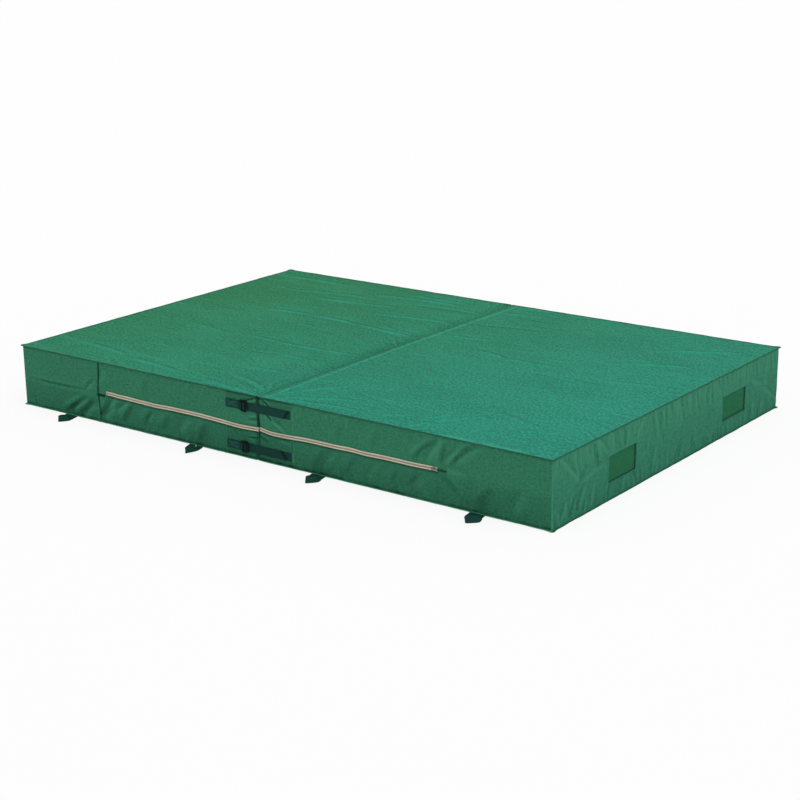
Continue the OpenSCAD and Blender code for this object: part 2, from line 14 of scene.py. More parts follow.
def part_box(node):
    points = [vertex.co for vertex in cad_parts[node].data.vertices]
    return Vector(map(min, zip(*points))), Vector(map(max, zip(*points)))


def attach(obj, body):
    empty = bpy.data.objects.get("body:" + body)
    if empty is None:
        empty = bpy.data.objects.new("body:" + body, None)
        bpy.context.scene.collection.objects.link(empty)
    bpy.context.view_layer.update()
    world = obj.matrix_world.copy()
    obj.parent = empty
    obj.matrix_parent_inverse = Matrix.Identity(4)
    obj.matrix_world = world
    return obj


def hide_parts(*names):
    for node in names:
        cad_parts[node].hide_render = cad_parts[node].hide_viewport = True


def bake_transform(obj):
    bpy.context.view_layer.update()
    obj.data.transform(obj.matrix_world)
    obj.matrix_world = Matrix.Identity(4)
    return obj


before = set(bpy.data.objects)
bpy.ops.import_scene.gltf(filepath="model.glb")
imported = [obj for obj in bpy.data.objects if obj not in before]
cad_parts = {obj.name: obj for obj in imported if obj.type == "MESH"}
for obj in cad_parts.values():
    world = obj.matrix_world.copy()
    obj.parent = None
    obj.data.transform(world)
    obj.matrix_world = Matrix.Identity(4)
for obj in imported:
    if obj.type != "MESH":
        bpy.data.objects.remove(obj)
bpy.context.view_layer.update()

bl_info = {
    "name": "Folding landing mat",
    "version": (1, 0, 0),
    "blender": (4, 5, 0),
    "location": "View3D > Sidebar > Landing mat",
    "description": "Builds the cover, webbing, zip and stage of a folding landing mat round its CAD frame",
    "category": "Add Mesh",
}

# ---- Places that the frame gives, in metres ----


def heights(node):
    """(lowest, highest) z of a CAD node."""
    return tuple(corner.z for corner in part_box(node))


FOLD_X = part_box("top_panel_right")[0].x
HALF_X, HALF_Y, TOP_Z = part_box("top_panel_right")[1]
TOP_SEAM_LOW, TOP_SEAM_HIGH = heights("top_flange_right")
BASE_SEAM_LOW, BASE_SEAM_HIGH = heights("base_flange_right")
TOP_SEAM_Z = (TOP_SEAM_LOW + TOP_SEAM_HIGH) / 2
BASE_SEAM_Z = (BASE_SEAM_LOW + BASE_SEAM_HIGH) / 2
TOP_SEAM_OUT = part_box("top_flange_right")[1].y - HALF_Y
BASE_SEAM_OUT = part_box("base_flange_right")[1].y - HALF_Y
PATCH_LOW, PATCH_HIGH = heights("back_patch_right")
PATCH_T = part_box("back_patch_right")[1].y - HALF_Y
PANEL_SEAM_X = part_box("front_wall_end_panel")[1].x
STRAP_Z = {level: sum(heights(f"anchor_strap_front_{level}")) / 2 for level in ("high", "low")}

# How far the zip's slot runs past its stops, and the mesh past its window
SLOT_PAST_STOP = 0.005
VENT_LAP = 0.012
SLOT_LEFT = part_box("zip_stop_left")[0].x - SLOT_PAST_STOP
SLOT_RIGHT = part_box("zip_stop_right")[1].x + SLOT_PAST_STOP
SLOT_HEIGHT = 0.0205
ZIP_Z = sum(heights("zip_tape_right")) / 2
SLOT_LOW, SLOT_HIGH = ZIP_Z - SLOT_HEIGHT / 2, ZIP_Z + SLOT_HEIGHT / 2

# The two halves and the two long walls, each with the sign of its side, and how far slot and patch reach on a half
HALVES = (("left", -1), ("right", 1))
FACES = (("front", -1), ("back", 1))
SLOT_REACH = {-1: -SLOT_LEFT, 1: SLOT_RIGHT}
PATCH_REACH = {-1: -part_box("front_patch_left")[0].x, 1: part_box("front_patch_right")[1].x}


def vent_window(node):
    """(lowest y, highest y, lowest z, highest z) of the window in front of a vent's mesh."""
    low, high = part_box(node)
    return low.y + VENT_LAP, high.y - VENT_LAP, low.z + VENT_LAP, high.z - VENT_LAP


VENTS = [vent_window(f"vent_mesh_right_{end}") for end in ("front", "back")]

# ---- The photograph's frame ----

FRAME_W = FRAME_H = 800
LONG_SIDE = max(FRAME_W, FRAME_H)
SENSOR = 36.0
POINTS = {
    "left_side": (20.5, None),
    "right_side": (779.7, None),
    "top_side": (None, 267.1),
    "bottom_side": (None, 533.0),
    "near_top_corner": (553.3, 458.3),
    "near_base_corner": (552.4, 533.0),
    "right_base_corner": (776.5, 408.2),
    "left_base_corner": (26.0, 403.5),
    "panel_seam": (98.2, 391.0),
    "patch_seam_left": (224.5, 405.0),
    "patch_seam_right": (293.5, 430.0),
    "zip_tack": (101.2, 395.4),
    "zip_left_end": (106.0, 393.5),
    "zip_right_end": (434.5, 468.0),
    "lock_high": (246.0, 407.5),
    "lock_low": (246.0, 447.0),
    "vent_near": (621.3, 463.0),
    "vent_far": (733.2, 402.8),
    "loop_nose_1": (59.3, 419.3),
    "loop_nose_4": (464.7, 520.5),
}
# What each named point shows, filled as the pieces are built
SHOWN = {}

# ---- Settings that a user would change ----


def srgb(red, green, blue):
    """A colour as a picture shows it, from 0 to 255, in Blender's linear values."""
    return tuple(
        c / 12.92 if c <= 0.04045 else ((c + 0.055) / 1.055) ** 2.4
        for c in (red / 255, green / 255, blue / 255)
    )


def number(name, default, description, **limits):
    return bpy.props.FloatProperty(name=name, description=description, default=default, **limits)


def length(name, default, description):
    return number(name, default, description, min=0.0, max=0.1, unit="LENGTH", precision=4)


def angle(name, degrees, description):
    return number(name, math.radians(degrees), description, unit="ROTATION")


def colour(name, default, description):
    return bpy.props.FloatVectorProperty(
        name=name, description=description, default=default, size=3, min=0.0, max=1.0, subtype="COLOR"
    )


class CoverSettings(bpy.types.PropertyGroup):
    """Sizes and colours of the sewn cover."""

    bulge: length("Wall bulge", 0.0045, "How far a wall swells between its seams")
    crown_reach: length("Edge reach", 0.028, "How far in from the seam the top sheet starts to fall")
    corner: length("Corner radius", 0.006, "Radius of the upright corners")
    slit: length("Slit radius", 0.008, "Radius at which a wall turns into the fold")
    valley: length("Fold valley", 0.0048, "Depth of the crease over the fold")
    slack: number("Slack", 0.012, "Share by which the fabric is cut larger than the foam", min=0.0, max=0.05)
    top_colour: colour("Top", srgb(39, 142, 118), "Colour of the coated top sheet")
    # The colour that the top runs to at its back left corner: painted shading across the sheet
    shaded_corner_colour: colour("Faded top", srgb(38, 121, 77), "Colour that the top has faded to at its back left corner")
    wall_colour: colour("Walls", srgb(54, 125, 95), "Colour of the walls")
    mesh_colour: colour("Vent mesh", srgb(40, 120, 82), "Colour of the vents' mesh")
    thread_colour: colour("Thread", srgb(22, 62, 48), "Colour of the sewing thread")


class TrimSettings(bpy.types.PropertyGroup):
    """Sizes and colours of the webbing, the locks and the zip."""

    stitch: length("Stitch", 0.0032, "Length of one stitch")
    stitch_gap: length("Stitch gap", 0.0014, "Gap between two stitches")
    thread: length("Thread radius", 0.00035, "Radius of the sewing thread")
    webbing_colour: colour("Webbing", srgb(20, 63, 56), "Colour of the webbing")
    lock_colour: colour("Lock", srgb(3, 9, 10), "Colour of the moulded locks")
    tape_colour: colour("Zip tape", srgb(222, 218, 195), "Colour of the zip's tape")
    coil_colour: colour("Zip coil", srgb(158, 132, 112), "Colour of the zip's coil")
    metal_colour: colour("Zip metal", srgb(128, 132, 118), "Colour of the slider, pull and stops")


class StageSettings(bpy.types.PropertyGroup):
    """Camera, lamps and floor."""

    place: bpy.props.FloatVectorProperty(
        name="Camera", description="Where the camera stands", default=(4.8306, -6.3998, 2.4535), size=3,
        subtype="TRANSLATION", unit="LENGTH",
    )
    azimuth: angle("Azimuth", 36.9399, "Camera's direction round the mat")
    pitch: angle("Pitch", 16.82089, "How far the camera looks down")
    roll: angle("Roll", -0.67841, "The camera's lean")
    lens: number("Lens", 78.503, "Focal length in millimetres on a 36 mm sensor", min=1.0, unit="CAMERA")
    floor_colour: colour("Floor", (0.9, 0.9, 0.9), "Colour of the floor")
    sky: number("Sky", 0.62, "Strength of the soft light from all round", min=0.0)
    lamp: number("Lamp", 1.3, "Power of the overhead lamp", min=0.0, unit="POWER")


# ---- Shader maths ----


def arithmetic(operation, swapped=False):
    """A method of Wire that adds one Math node to its material."""

    def method(self, *others):
        node = self.tree.nodes.new("ShaderNodeMath")
        node.operation = operation
        for slot, value in zip(node.inputs, (self, *others)[:: -1 if swapped else 1]):
            join(self.tree, slot, value)
        return Wire(self.tree, node.outputs[0])

    return method


class Wire:
    """One output of a material's nodes. Arithmetic on wires and numbers adds Math nodes."""

    def __init__(self, tree, socket):
        self.tree = tree
        self.socket = socket

    __add__, __radd__ = arithmetic("ADD"), arithmetic("ADD", True)
    __sub__, __rsub__ = arithmetic("SUBTRACT"), arithmetic("SUBTRACT", True)
    __mul__, __truediv__, __abs__ = arithmetic("MULTIPLY"), arithmetic("DIVIDE"), arithmetic("ABSOLUTE")
    __lt__, __gt__ = arithmetic("LESS_THAN"), arithmetic("GREATER_THAN")
    least, most = arithmetic("MINIMUM"), arithmetic("MAXIMUM")
    sine, fraction = arithmetic("SINE"), arithmetic("FRACT")

    def other(self, output):
        """Another output of the same node."""
        return Wire(self.tree, self.socket.node.outputs[output])

    def ridges(self, pitch):
        """Rounded ridges from 0 to 1, a pitch apart along this wire."""
        return abs((self * (math.pi / pitch)).sine())

    def wave(self, pitch):
        """0 to 1 and back once every pitch along this wire."""
        return (self * (2 * math.pi / pitch)).sine() * 0.5 + 0.5


def join(tree, slot, value):
    """Sets a socket to a value, or links a wire to it."""
    if isinstance(value, Wire):
        tree.links.new(value.socket, slot)
    else:
        slot.default_value = value


class Nodes:
    """The nodes of a material or of the sky, being built."""

    def __init__(self, tree):
        self.tree = tree

    def add(self, kind, settings=None, inputs=None, output=0):
        """A node of the given type, with its settings made first, then its sockets' values or wires."""
        node = self.tree.nodes.new(kind)
        for key, value in (settings or {}).items():
            setattr(node, key, value)
        for key, value in (inputs or {}).items():
            join(self.tree, node.inputs[key], value)
        return None if output is None else Wire(self.tree, node.outputs[output])

    def seen(self):
        """1 where the camera looks, straight, in a gloss or through a clear thing, and 0 for the rest of the light."""
        rays = self.add("ShaderNodeLightPath", output="Is Camera Ray")
        return rays.most(rays.other("Is Glossy Ray")).most(rays.other("Is Transmission Ray"))


class Finish(Nodes):
    """A material being built round one Principled shader. The constants are what its plain display uses."""

    def __init__(self, name, **constants):
        self.material = bpy.data.materials.new(name)
        self.material.use_nodes = True
        super().__init__(self.material.node_tree)
        self.shader = self.tree.nodes["Principled BSDF"]
        for socket, value in constants.items():
            self.feed(socket.replace("_", " "), value)

    def feed(self, socket, value):
        join(self.tree, self.shader.inputs[socket], value)

    def done(self, body, roughness, height, distance, strength):
        """The material, fed its colour, its roughness and a bump whose height is in shares of a distance in metres."""
        self.feed("Base Color", body)
        self.feed("Roughness", roughness)
        bump = {"Strength": strength, "Distance": distance, "Height": height}
        self.feed("Normal", self.add("ShaderNodeBump", None, bump))
        return self.material

    def axes(self, vector):
        x = self.add("ShaderNodeSeparateXYZ", None, {0: vector})
        return [x, x.other(1), x.other(2)]

    def place(self):
        """(x, y, z) of the surface in the object's own frame, as wires, and the vector that holds them."""
        vector = self.add("ShaderNodeTexCoord", output="Object")
        return self.axes(vector), vector

    def ribbon(self):
        """(along, across) on a strap or tape, as wires, and the vector that holds them."""
        vector = self.add("ShaderNodeUVMap", {"uv_map": "ribbon"})
        return self.axes(vector)[:2], vector

    def noise(self, vector, scale, detail=2.0, rough=0.5):
        inputs = {"Vector": vector, "Scale": scale, "Detail": detail, "Roughness": rough}
        return self.add("ShaderNodeTexNoise", {"noise_dimensions": "3D"}, inputs)

    def mix(self, factor, a, b):
        """Colours a and b, each a wire or three numbers, mixed by factor."""
        a, b = (x if isinstance(x, Wire) else (*x, 1.0) for x in (a, b))
        return self.add("ShaderNodeMix", {"data_type": "RGBA"}, {0: factor, 6: a, 7: b}, 2)

    def toned(self, tone, shade, dark, light):
        """A colour that runs from darkened to lightened as the tone goes from 0 to 1."""
        return self.mix(tone, scaled(shade, dark), scaled(shade, light))

    def shaded_and_worn(self, body, shade, light=0.55):
        """body painted paler where the piece's painted shading and wear is above 0, and darker where it is below:
        painted highlight and painted shade, with some wear and dust.
        """
        wear = self.add("ShaderNodeAttribute", {"attribute_name": "wear"}).other("Fac")
        brightened = tuple(min(1.0, c * 1.3 + 0.012) for c in shade)
        body = self.mix((wear * light).most(0.0).least(0.85), body, brightened)
        return self.mix((wear * -0.3).most(0.0).least(0.95), body, scaled(shade, 0.18))


def scaled(shade, factor):
    """A colour made lighter or darker."""
    return tuple(min(1.0, c * factor) for c in shade)


def threads(a, b, pitch):
    """Height of a plain weave, 0 to 1, with threads a pitch apart along a and b."""
    warp, weft = ((wire * (math.pi / pitch)).sine() for wire in (a, b))
    over = (warp * weft) > 0.0
    return abs(warp) * over + abs(weft) * (1.0 - over)


def cover_finish(name, shade, plane, far=None, rough=0.5, ends=None):
    """Coated plain-weave cover fabric, painted paler on its folds' ridges and darker in their valleys: painted
    highlight and painted shade.

    plane gives the two directions of its threads from x, y and z. far is the colour that it runs
    to at the mat's back left corner, a painted shading across the top, rough how strongly its grain
    shows, and ends the colour of the mat's ends, painted light of how the lamp falls on them."""
    finish = Finish(name, Roughness=0.62, Specular_IOR_Level=0.04)
    (x, y, z), vector = finish.place()
    a, b = plane(x, y, z)
    weave = threads(a, b, 0.0011)
    grain = finish.noise(vector, 190.0, 3.0, 0.7)
    fleck = finish.noise(vector, 85.0, 3.0, 0.72)
    slub = finish.noise(finish.add("ShaderNodeCombineXYZ", None, {0: a * 12.0, 1: b * 150.0, 2: 0.0}), 1.0, 2.0)
    cloud = finish.noise(vector, 2.3, 3.0)
    blotch = finish.noise(vector, 22.0, 3.0, 0.6)
    tone = (
        0.5 + (grain - 0.5) * 2.7 * rough + (fleck - 0.5) * 3.5 * rough + (slub - 0.5) * 0.3
        + (cloud - 0.5) * 0.16 + (blotch - 0.5) * 0.14 * rough
    )
    body = finish.toned(tone, shade, 0.62, 1.38)
    # The top runs to the far colour towards its back left corner: painted shading across the sheet
    if far is not None:
        front_right_share = (0.5 + x * 0.30 - y * 0.20 + (cloud - 0.5) * 0.1).most(0.0).least(1.0)
        body = finish.mix(front_right_share, finish.toned(tone, far, 0.62, 1.38), body)
    # The ends take their own tint of the colour: painted light of how the lamp falls on them
    if ends is not None:
        body = finish.mix(abs(x) > HALF_X - 0.012, body, finish.toned(tone, ends, 0.62, 1.38))
    body = finish.mix(weave * 0.1, body, scaled(shade, 1.4))
    height = weave * 0.35 + grain * 0.4 + blotch * 0.5
    return finish.done(finish.shaded_and_worn(body, shade), 0.52 + grain * 0.12 + blotch * 0.08, height, 0.0008, 0.6)


def mesh_finish(name, shade):
    """Open knitted mesh behind the vents: rows of small holes that show darker."""
    finish = Finish(name, Roughness=0.7, Specular_IOR_Level=0.06)
    (_, y, z), vector = finish.place()
    turn = math.pi / 0.0026
    row = (z * turn).sine()
    line = (y * turn + (row > 0.0) * (math.pi / 2)).sine()
    hole = (abs(row) * abs(line)) > 0.42
    cloud = finish.noise(vector, 22.0, 3.0)
    # The holes are painted dark: painted shade of the hollow behind the mesh
    body = finish.mix(hole * 0.72, finish.toned(cloud, shade, 0.86, 1.16), scaled(shade, 0.3))
    return finish.done(body, 0.6 + cloud * 0.2, 1.0 - hole, 0.0006, 0.6)


def webbing_finish(name, shade, along="uv", ribs=0.0042):
    """Woven polyester webbing: ribs along its length with slanting picks across them."""
    finish = Finish(name, Roughness=0.62, Specular_IOR_Level=0.08)
    if along == "uv":
        (a, b), vector = finish.ribbon()
    else:
        (a, _, b), vector = finish.place()
    rib = b.ridges(ribs)
    picks = (a + abs((b / ribs).fraction() - 0.5) * ribs * 1.3).wave(0.0024)
    soil = finish.noise(vector, 34.0, 4.0, 0.6)
    fibre = finish.noise(vector, 900.0)
    body = finish.toned(rib * 0.34 + picks * 0.24 + soil * 0.28 + fibre * 0.14, shade, 0.55, 1.55)
    if along == "uv":
        body = finish.shaded_and_worn(body, scaled(shade, 1.6), 0.7)
    return finish.done(body, 0.56 + soil * 0.16, rib * 0.6 + picks * 0.4, 0.0005, 0.8)


def moulded_finish(name, shade):
    """Moulded acetal with a fine grain, a little paler in scuffed patches."""
    finish = Finish(name, Roughness=0.36, Specular_IOR_Level=0.12)
    vector = finish.place()[1]
    grain = finish.noise(vector, 1800.0, 3.0)
    scuff = finish.noise(vector, 160.0, 4.0, 0.65)
    return finish.done(finish.toned(scuff, shade, 0.8, 1.5), 0.42 + scuff * 0.24, grain, 0.0001, 0.35)


def tape_finish(name, shade, edge):
    """Twill zip tape, tan, with a broken red line woven in beside the coil."""
    finish = Finish(name, Roughness=0.72, Specular_IOR_Level=0.1)
    (a, b), vector = finish.ribbon()
    twill = (a + b).wave(0.0016)
    cord_line = b.ridges(0.0028)
    soil = finish.noise(vector, 9.0, 4.0, 0.6)
    grain = finish.noise(vector, 500.0)
    body = finish.toned(twill * 0.25 + cord_line * 0.2 + soil * 0.35 + grain * 0.2, shade, 0.82, 1.12)
    body = finish.mix((abs(abs(b) - 0.0030) < 0.0009) * (0.2 + soil * 0.4), body, edge)
    height = twill * 0.5 + cord_line * 0.5
    return finish.done(finish.shaded_and_worn(body, scaled(shade, 0.5)), 0.66 + soil * 0.14, height, 0.0003, 0.7)


def coil_finish(name, shade):
    """Hard monofilament of the zip's coil, unevenly dyed."""
    finish = Finish(name, Roughness=0.42, Specular_IOR_Level=0.25)
    vector = finish.place()[1]
    patch = finish.noise(vector, 7.0, 3.0)
    grain = finish.noise(vector, 700.0)
    body = finish.toned(patch * 0.7 + grain * 0.3, shade, 0.7, 1.3)
    return finish.done(body, 0.34 + grain * 0.16, grain, 0.0001, 0.4)


def metal_finish(name, shade):
    """Painted die-cast metal, brighter where its paint has been scraped off."""
    finish = Finish(name)
    scratch = finish.noise(finish.place()[1], 420.0, 4.0, 0.6)
    brightened = scratch > 0.56
    finish.feed("Metallic", 0.75 + brightened * 0.2)
    return finish.done(finish.toned(brightened * 0.6, shade, 0.8, 1.8), 0.3 + scratch * 0.25, scratch, 0.0001, 0.4)


def thread_finish(name, shade):
    """Twisted sewing thread."""
    finish = Finish(name, Roughness=0.6, Specular_IOR_Level=0.2)
    x, y, z = finish.place()[0]
    twist = (x + y + z * 2.0).wave(0.0012)
    return finish.done(finish.toned(twist, shade, 0.7, 1.5), 0.5 + twist * 0.2, twist, 0.0001, 0.5)


def floor_finish(name, shade):
    """Pale floor that the camera sees nearly white, with the mat's shadow left on it."""
    finish = Finish(name, Roughness=0.8)
    cloud = finish.noise(finish.place()[1], 1.2)
    finish.feed("Base Color", finish.toned(cloud, shade, 0.99, 1.01))
    glow = finish.add("ShaderNodeEmission", None, {"Strength": 1.03})
    lit = Wire(finish.tree, finish.shader.outputs[0])
    both = finish.add("ShaderNodeMixShader", None, {0: finish.seen() * 0.82, 1: lit, 2: glow})
    join(finish.tree, finish.tree.nodes["Material Output"].inputs["Surface"], both)
    return finish.material


# ---- Meshes ----


def make_piece(name, points, faces, finish, smooth=True, ribbon=None, wear=None):
    """A mesh object of the given points and faces.

    ribbon is each point's (along, across) on a strap, and the painted shading and wear of each point how much paler
    (above 0) or darker (below) it is painted: painted highlight and painted shade, with some wear and dust."""
    mesh = bpy.data.meshes.new(name)
    mesh.from_pydata(np.asarray(points, float).reshape(-1, 3).tolist(), [], [tuple(int(i) for i in f) for f in faces])
    mesh.update()
    mesh.polygons.foreach_set("use_smooth", np.full(len(mesh.polygons), smooth))
    if ribbon is not None:
        layer = mesh.uv_layers.new(name="ribbon")
        corner = np.zeros(len(mesh.loops), np.int32)
        mesh.loops.foreach_get("vertex_index", corner)
        layer.uv.foreach_set("vector", np.asarray(ribbon, np.float32).reshape(-1, 2)[corner].ravel())
    if wear is not None:
        mesh.attributes.new("wear", "FLOAT", "POINT").data.foreach_set("value", np.asarray(wear, np.float32).ravel())
    piece = bpy.data.objects.new(name, mesh)
    bpy.context.scene.collection.objects.link(piece)
    mesh.materials.append(finish)
    return piece


def carried(piece, body, slot, *nodes):
    """A piece, parented to the empty of the body that it rides on, with the nodes that it stands for hidden. slot, its
    finish slot, is not used.
    """
    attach(piece, body)
    if nodes:
        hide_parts(*nodes)
    return piece


def grid_faces(rows, columns, closed=False):
    """Quads over points that lie row after row. closed joins each row's end to its start."""
    i, j = np.meshgrid(np.arange(rows - 1), np.arange(columns if closed else columns - 1), indexing="ij")
    i, j = i.ravel(), j.ravel()
    k = (j + 1) % columns
    return np.stack([i * columns + j, i * columns + k, (i + 1) * columns + k, (i + 1) * columns + j], 1)


def tube_faces(rows, columns):
    """Quads round a tube whose rows of points are its sections, and its two end faces."""
    last = (rows - 1) * columns
    ends = [list(range(columns))[::-1], list(range(last, last + columns))]
    return grid_faces(rows, columns, closed=True).tolist() + ends


def open_edges(faces):
    """The edges (a, b) that faces have on one side only, and the numbers of their points in order."""
    edges = dict.fromkeys(pair for face in faces.tolist() for pair in zip(face, face[1:] + face[:1]))
    rims = [(a, b) for a, b in edges if (b, a) not in edges]
    return rims, sorted({i for pair in rims for i in pair})


def spaced(start, end, step, *stops):
    """Places from start to end about a step apart, with the stops among them."""
    keys = sorted({start, end, *(s for s in stops if start < s < end)})
    out = [np.array(keys[:1])]
    for a, b in zip(keys, keys[1:]):
        out.append(np.linspace(a, b, max(1, round((b - a) / step)) + 1)[1:])
    return np.concatenate(out)


def lengths_along(path):
    """How far along a path each of its points lies."""
    return np.concatenate([[0], np.cumsum(np.linalg.norm(np.diff(path, axis=0), axis=1))])


def unit(vectors):
    """Rows of vectors, each brought to a length of 1."""
    return vectors / np.maximum(np.linalg.norm(vectors, axis=1), 1e-9)[:, None]


class Parts:
    """Points and faces gathered from many small forms into one mesh."""

    def __init__(self):
        self.points, self.faces, self.ribbon, self.wear, self.count = [], [], [], [], 0

    def take(self, points, faces, ribbon=None, wear=None):
        points = np.asarray(points, float).reshape(-1, 3)
        self.points.append(points)
        self.faces += [tuple(int(i) + self.count for i in f) for f in faces]
        self.ribbon.append(np.zeros((len(points), 2)) if ribbon is None else ribbon)
        self.wear.append(np.zeros(len(points)) if wear is None else wear)
        self.count += len(points)

    def tube(self, sections, ribbon=None, wear=None):
        """Takes a closed tube, given its sections' points, with its faces turned outward."""
        faces = tube_faces(*sections.shape[:2])
        points = sections.reshape(-1, 3)
        fans = np.array([(f[0], i, j) for f in faces for i, j in zip(f[1:], f[2:])])
        a, b, c = (points[fans[:, k]] - points.mean(axis=0) for k in range(3))
        outward = (a * np.cross(b, c)).sum() > 0
        self.take(points, faces if outward else [f[::-1] for f in faces], ribbon, wear)

    def piece(self, name, finish):
        ribbon, wear = np.concatenate(self.ribbon), np.concatenate(self.wear)
        return make_piece(name, np.concatenate(self.points), self.faces, finish, ribbon=ribbon, wear=wear)


# ---- Folds and unevenness ----


def eased(t):
    """0 to 1 as t goes from 0 to 1, with a soft start and end."""
    t = np.clip(t, 0, 1)
    return t * t * (3 - 2 * t)


def bell(gap, width):
    """1 where the gap is nothing, falling to 0 within a few widths."""
    return np.exp(-((gap / width) ** 2))


def noise(a, b, cell, seed, octaves=1):
    """Smooth noise from about -1 to 1 with features a cell wide."""
    total = 0.0
    for k in range(octaves):
        grid = np.random.default_rng(seed * 31 + k).uniform(-1, 1, (128, 128))
        x, y = np.asarray(a) / cell * 2**k + 1000, np.asarray(b) / cell * 2**k + 1000
        i, j = np.floor(x).astype(int), np.floor(y).astype(int)
        u, v = eased(x - i), eased(y - j)
        near = grid[i % 128, j % 128] * (1 - u) + grid[(i + 1) % 128, j % 128] * u
        far = grid[i % 128, (j + 1) % 128] * (1 - u) + grid[(i + 1) % 128, (j + 1) % 128] * u
        total = total + (near * (1 - v) + far * v) * 0.5**k
    return total


def creases(a, b, lines):
    """Height at places (a, b) of folds, each (a0, b0, a1, b1, width, height, bow): a ridge with a dip beside it.

    A negative height is a valley. bow bends the fold sideways by that share of its length."""
    total = np.zeros(np.shape(a))
    for a0, b0, a1, b1, width, height, bow in lines:
        long = math.hypot(a1 - a0, b1 - b0)
        ca, cb = (a1 - a0) / long, (b1 - b0) / long
        t = ((a - a0) * ca + (b - b0) * cb) / long
        near = (t > -0.1) & (t < 1.1)
        off = (b - b0) * ca - (a - a0) * cb - bow * long * 4 * t * (1 - t)
        near &= np.abs(off) < 5 * width
        if near.any():
            t, off = t[near], off[near] / width
            taper = eased(np.clip(t + 0.1, 0, 0.35) / 0.35) * eased(np.clip(1.1 - t, 0, 0.45) / 0.45)
            total[near] += height * taper * (bell(off, 1.0) - 0.45 * bell(off - 1.9, 1.3))
    return total


def puckers(rng, start, end, at, toward, spacing, reach, width, height, lean=0.35):
    """Random short folds that leave a seam. The seam runs from start to end at the other coordinate at."""
    lines, place = [], start + rng.uniform(0, spacing)
    while place < end:
        long = reach * rng.uniform(0.45, 1.25)
        tip = place + rng.normal(0, lean) * long
        wide = width * rng.uniform(0.7, 1.3)
        high = height * rng.uniform(0.4, 1.2) * rng.choice([1, -1])
        lines.append((place, at, tip, at + toward * long, wide, high, rng.normal(0, 0.06)))
        place += spacing * rng.uniform(0.45, 1.6)
    return lines


def both_edges(rng, reach, edge, *folds):
    """Puckers along two opposite edges, at plus and minus edge, that run from -reach to reach."""
    return puckers(rng, -reach, reach, edge, -1, *folds) + puckers(rng, -reach, reach, -edge, 1, *folds)


def crossed(lines):
    """Folds with their two coordinates swapped."""
    return [(b0, a0, b1, a1, *rest) for a0, b0, a1, b1, *rest in lines]


def read_off(*rows):
    """Folds read from the photograph: places in millimetres, width and height in tenths of one, bow in hundredths."""
    return [tuple(v / per for v, per in zip(row, (1000,) * 4 + (10000, 10000, 100))) for row in rows]


# ---- Cloth ----

CELL = 0.04
CELLS_HIGH = 8
CLOTH_FRAMES = 20
# Each panel of the cover: the axis that it faces along, and whether that is towards more or less
PANELS = {"top": (2, 1), "base": (2, -1), "front": (1, -1), "back": (1, 1), "left": (0, -1), "right": (0, 1)}


def slack_panels(slack):
    """Lets a cover cut larger than its foam settle with its seams held, and gives how far it moved.

    Returns {panel: (places along, places across, outward moves)}."""
    spans = [np.linspace(-half, half, round(2 * half / CELL) + 1) for half in (HALF_X, HALF_Y)]
    spans.append(np.linspace(0, TOP_Z, CELLS_HIGH + 1))
    index, points, faces, numbers = {}, [], [], {}
    for name, (axis, sign) in PANELS.items():
        along, across = (span for k, span in enumerate(spans) if k != axis)
        own = []
        for spot in ([a, b] for a in along for b in across):
            spot.insert(axis, spans[axis][0 if sign < 0 else -1])
            key = tuple(round(c * 1e5) for c in spot)
            if key not in index:
                index[key] = len(points)
                points.append(spot)
            own.append(index[key])
        numbers[name] = np.array(own).reshape(len(along), len(across))
        quads = np.array(own)[grid_faces(len(along), len(across))]
        faces += (quads[:, ::-1] if sign == (1 if axis == 1 else -1) else quads).tolist()
    points = np.array(points, float)
    shift = settle(points, faces, slack)
    fields = {}
    for name, (axis, sign) in PANELS.items():
        along, across = (span for k, span in enumerate(spans) if k != axis)
        fields[name] = along, across, shift[numbers[name]][..., axis] * sign
    return fields


def settle(points, faces, slack):
    """How far each point of the cover moves in Blender's cloth, with its seams, the fold and the zip's line held."""
    x, y, z = points.T
    near = 1e-6
    held = (z < near) | (z > TOP_Z - near) & ((np.abs(x) > HALF_X - near) | (np.abs(y) > HALF_Y - near))
    held |= np.abs(x) < CELL / 3
    held |= (y < near - HALF_Y) & (np.abs(z - ZIP_Z) < TOP_Z / 16) & (x > SLOT_LEFT) & (x < SLOT_RIGHT)
    start = points.copy()
    start[~held] += np.random.default_rng(7).normal(0, 0.0012, (int((~held).sum()), 3))
    mesh = bpy.data.meshes.new("slack_cover")
    mesh.from_pydata(start.tolist(), [], faces)
    mesh.update()
    trial = bpy.data.objects.new("slack_cover", mesh)
    bpy.context.scene.collection.objects.link(trial)
    trial.vertex_groups.new(name="held").add([int(i) for i in np.flatnonzero(held)], 1.0, "REPLACE")
    cloth = trial.modifiers.new("Cloth", "CLOTH")
    s = cloth.settings
    s.quality, s.mass, s.air_damping = 4, 0.4, 2.0
    s.tension_stiffness = s.compression_stiffness = 12.0
    s.shear_stiffness, s.bending_stiffness = 6.0, 3.0
    s.shrink_min = s.shrink_max = -slack
    s.use_pressure, s.uniform_pressure_force = True, 2.0
    s.vertex_group_mass = "held"
    s.effector_weights.gravity = 0.0
    cloth.collision_settings.use_collision = False
    cloth.collision_settings.use_self_collision = False
    cloth.point_cache.frame_start, cloth.point_cache.frame_end = 1, CLOTH_FRAMES
    for step in range(1, CLOTH_FRAMES + 1):
        bpy.context.scene.frame_set(step)
    end = np.zeros(points.size, np.float32)
    trial.evaluated_get(bpy.context.evaluated_depsgraph_get()).data.vertices.foreach_get("co", end)
    bpy.context.scene.frame_set(1)
    bpy.data.objects.remove(trial)
    bpy.data.meshes.remove(mesh)
    return end.reshape(-1, 3) - points


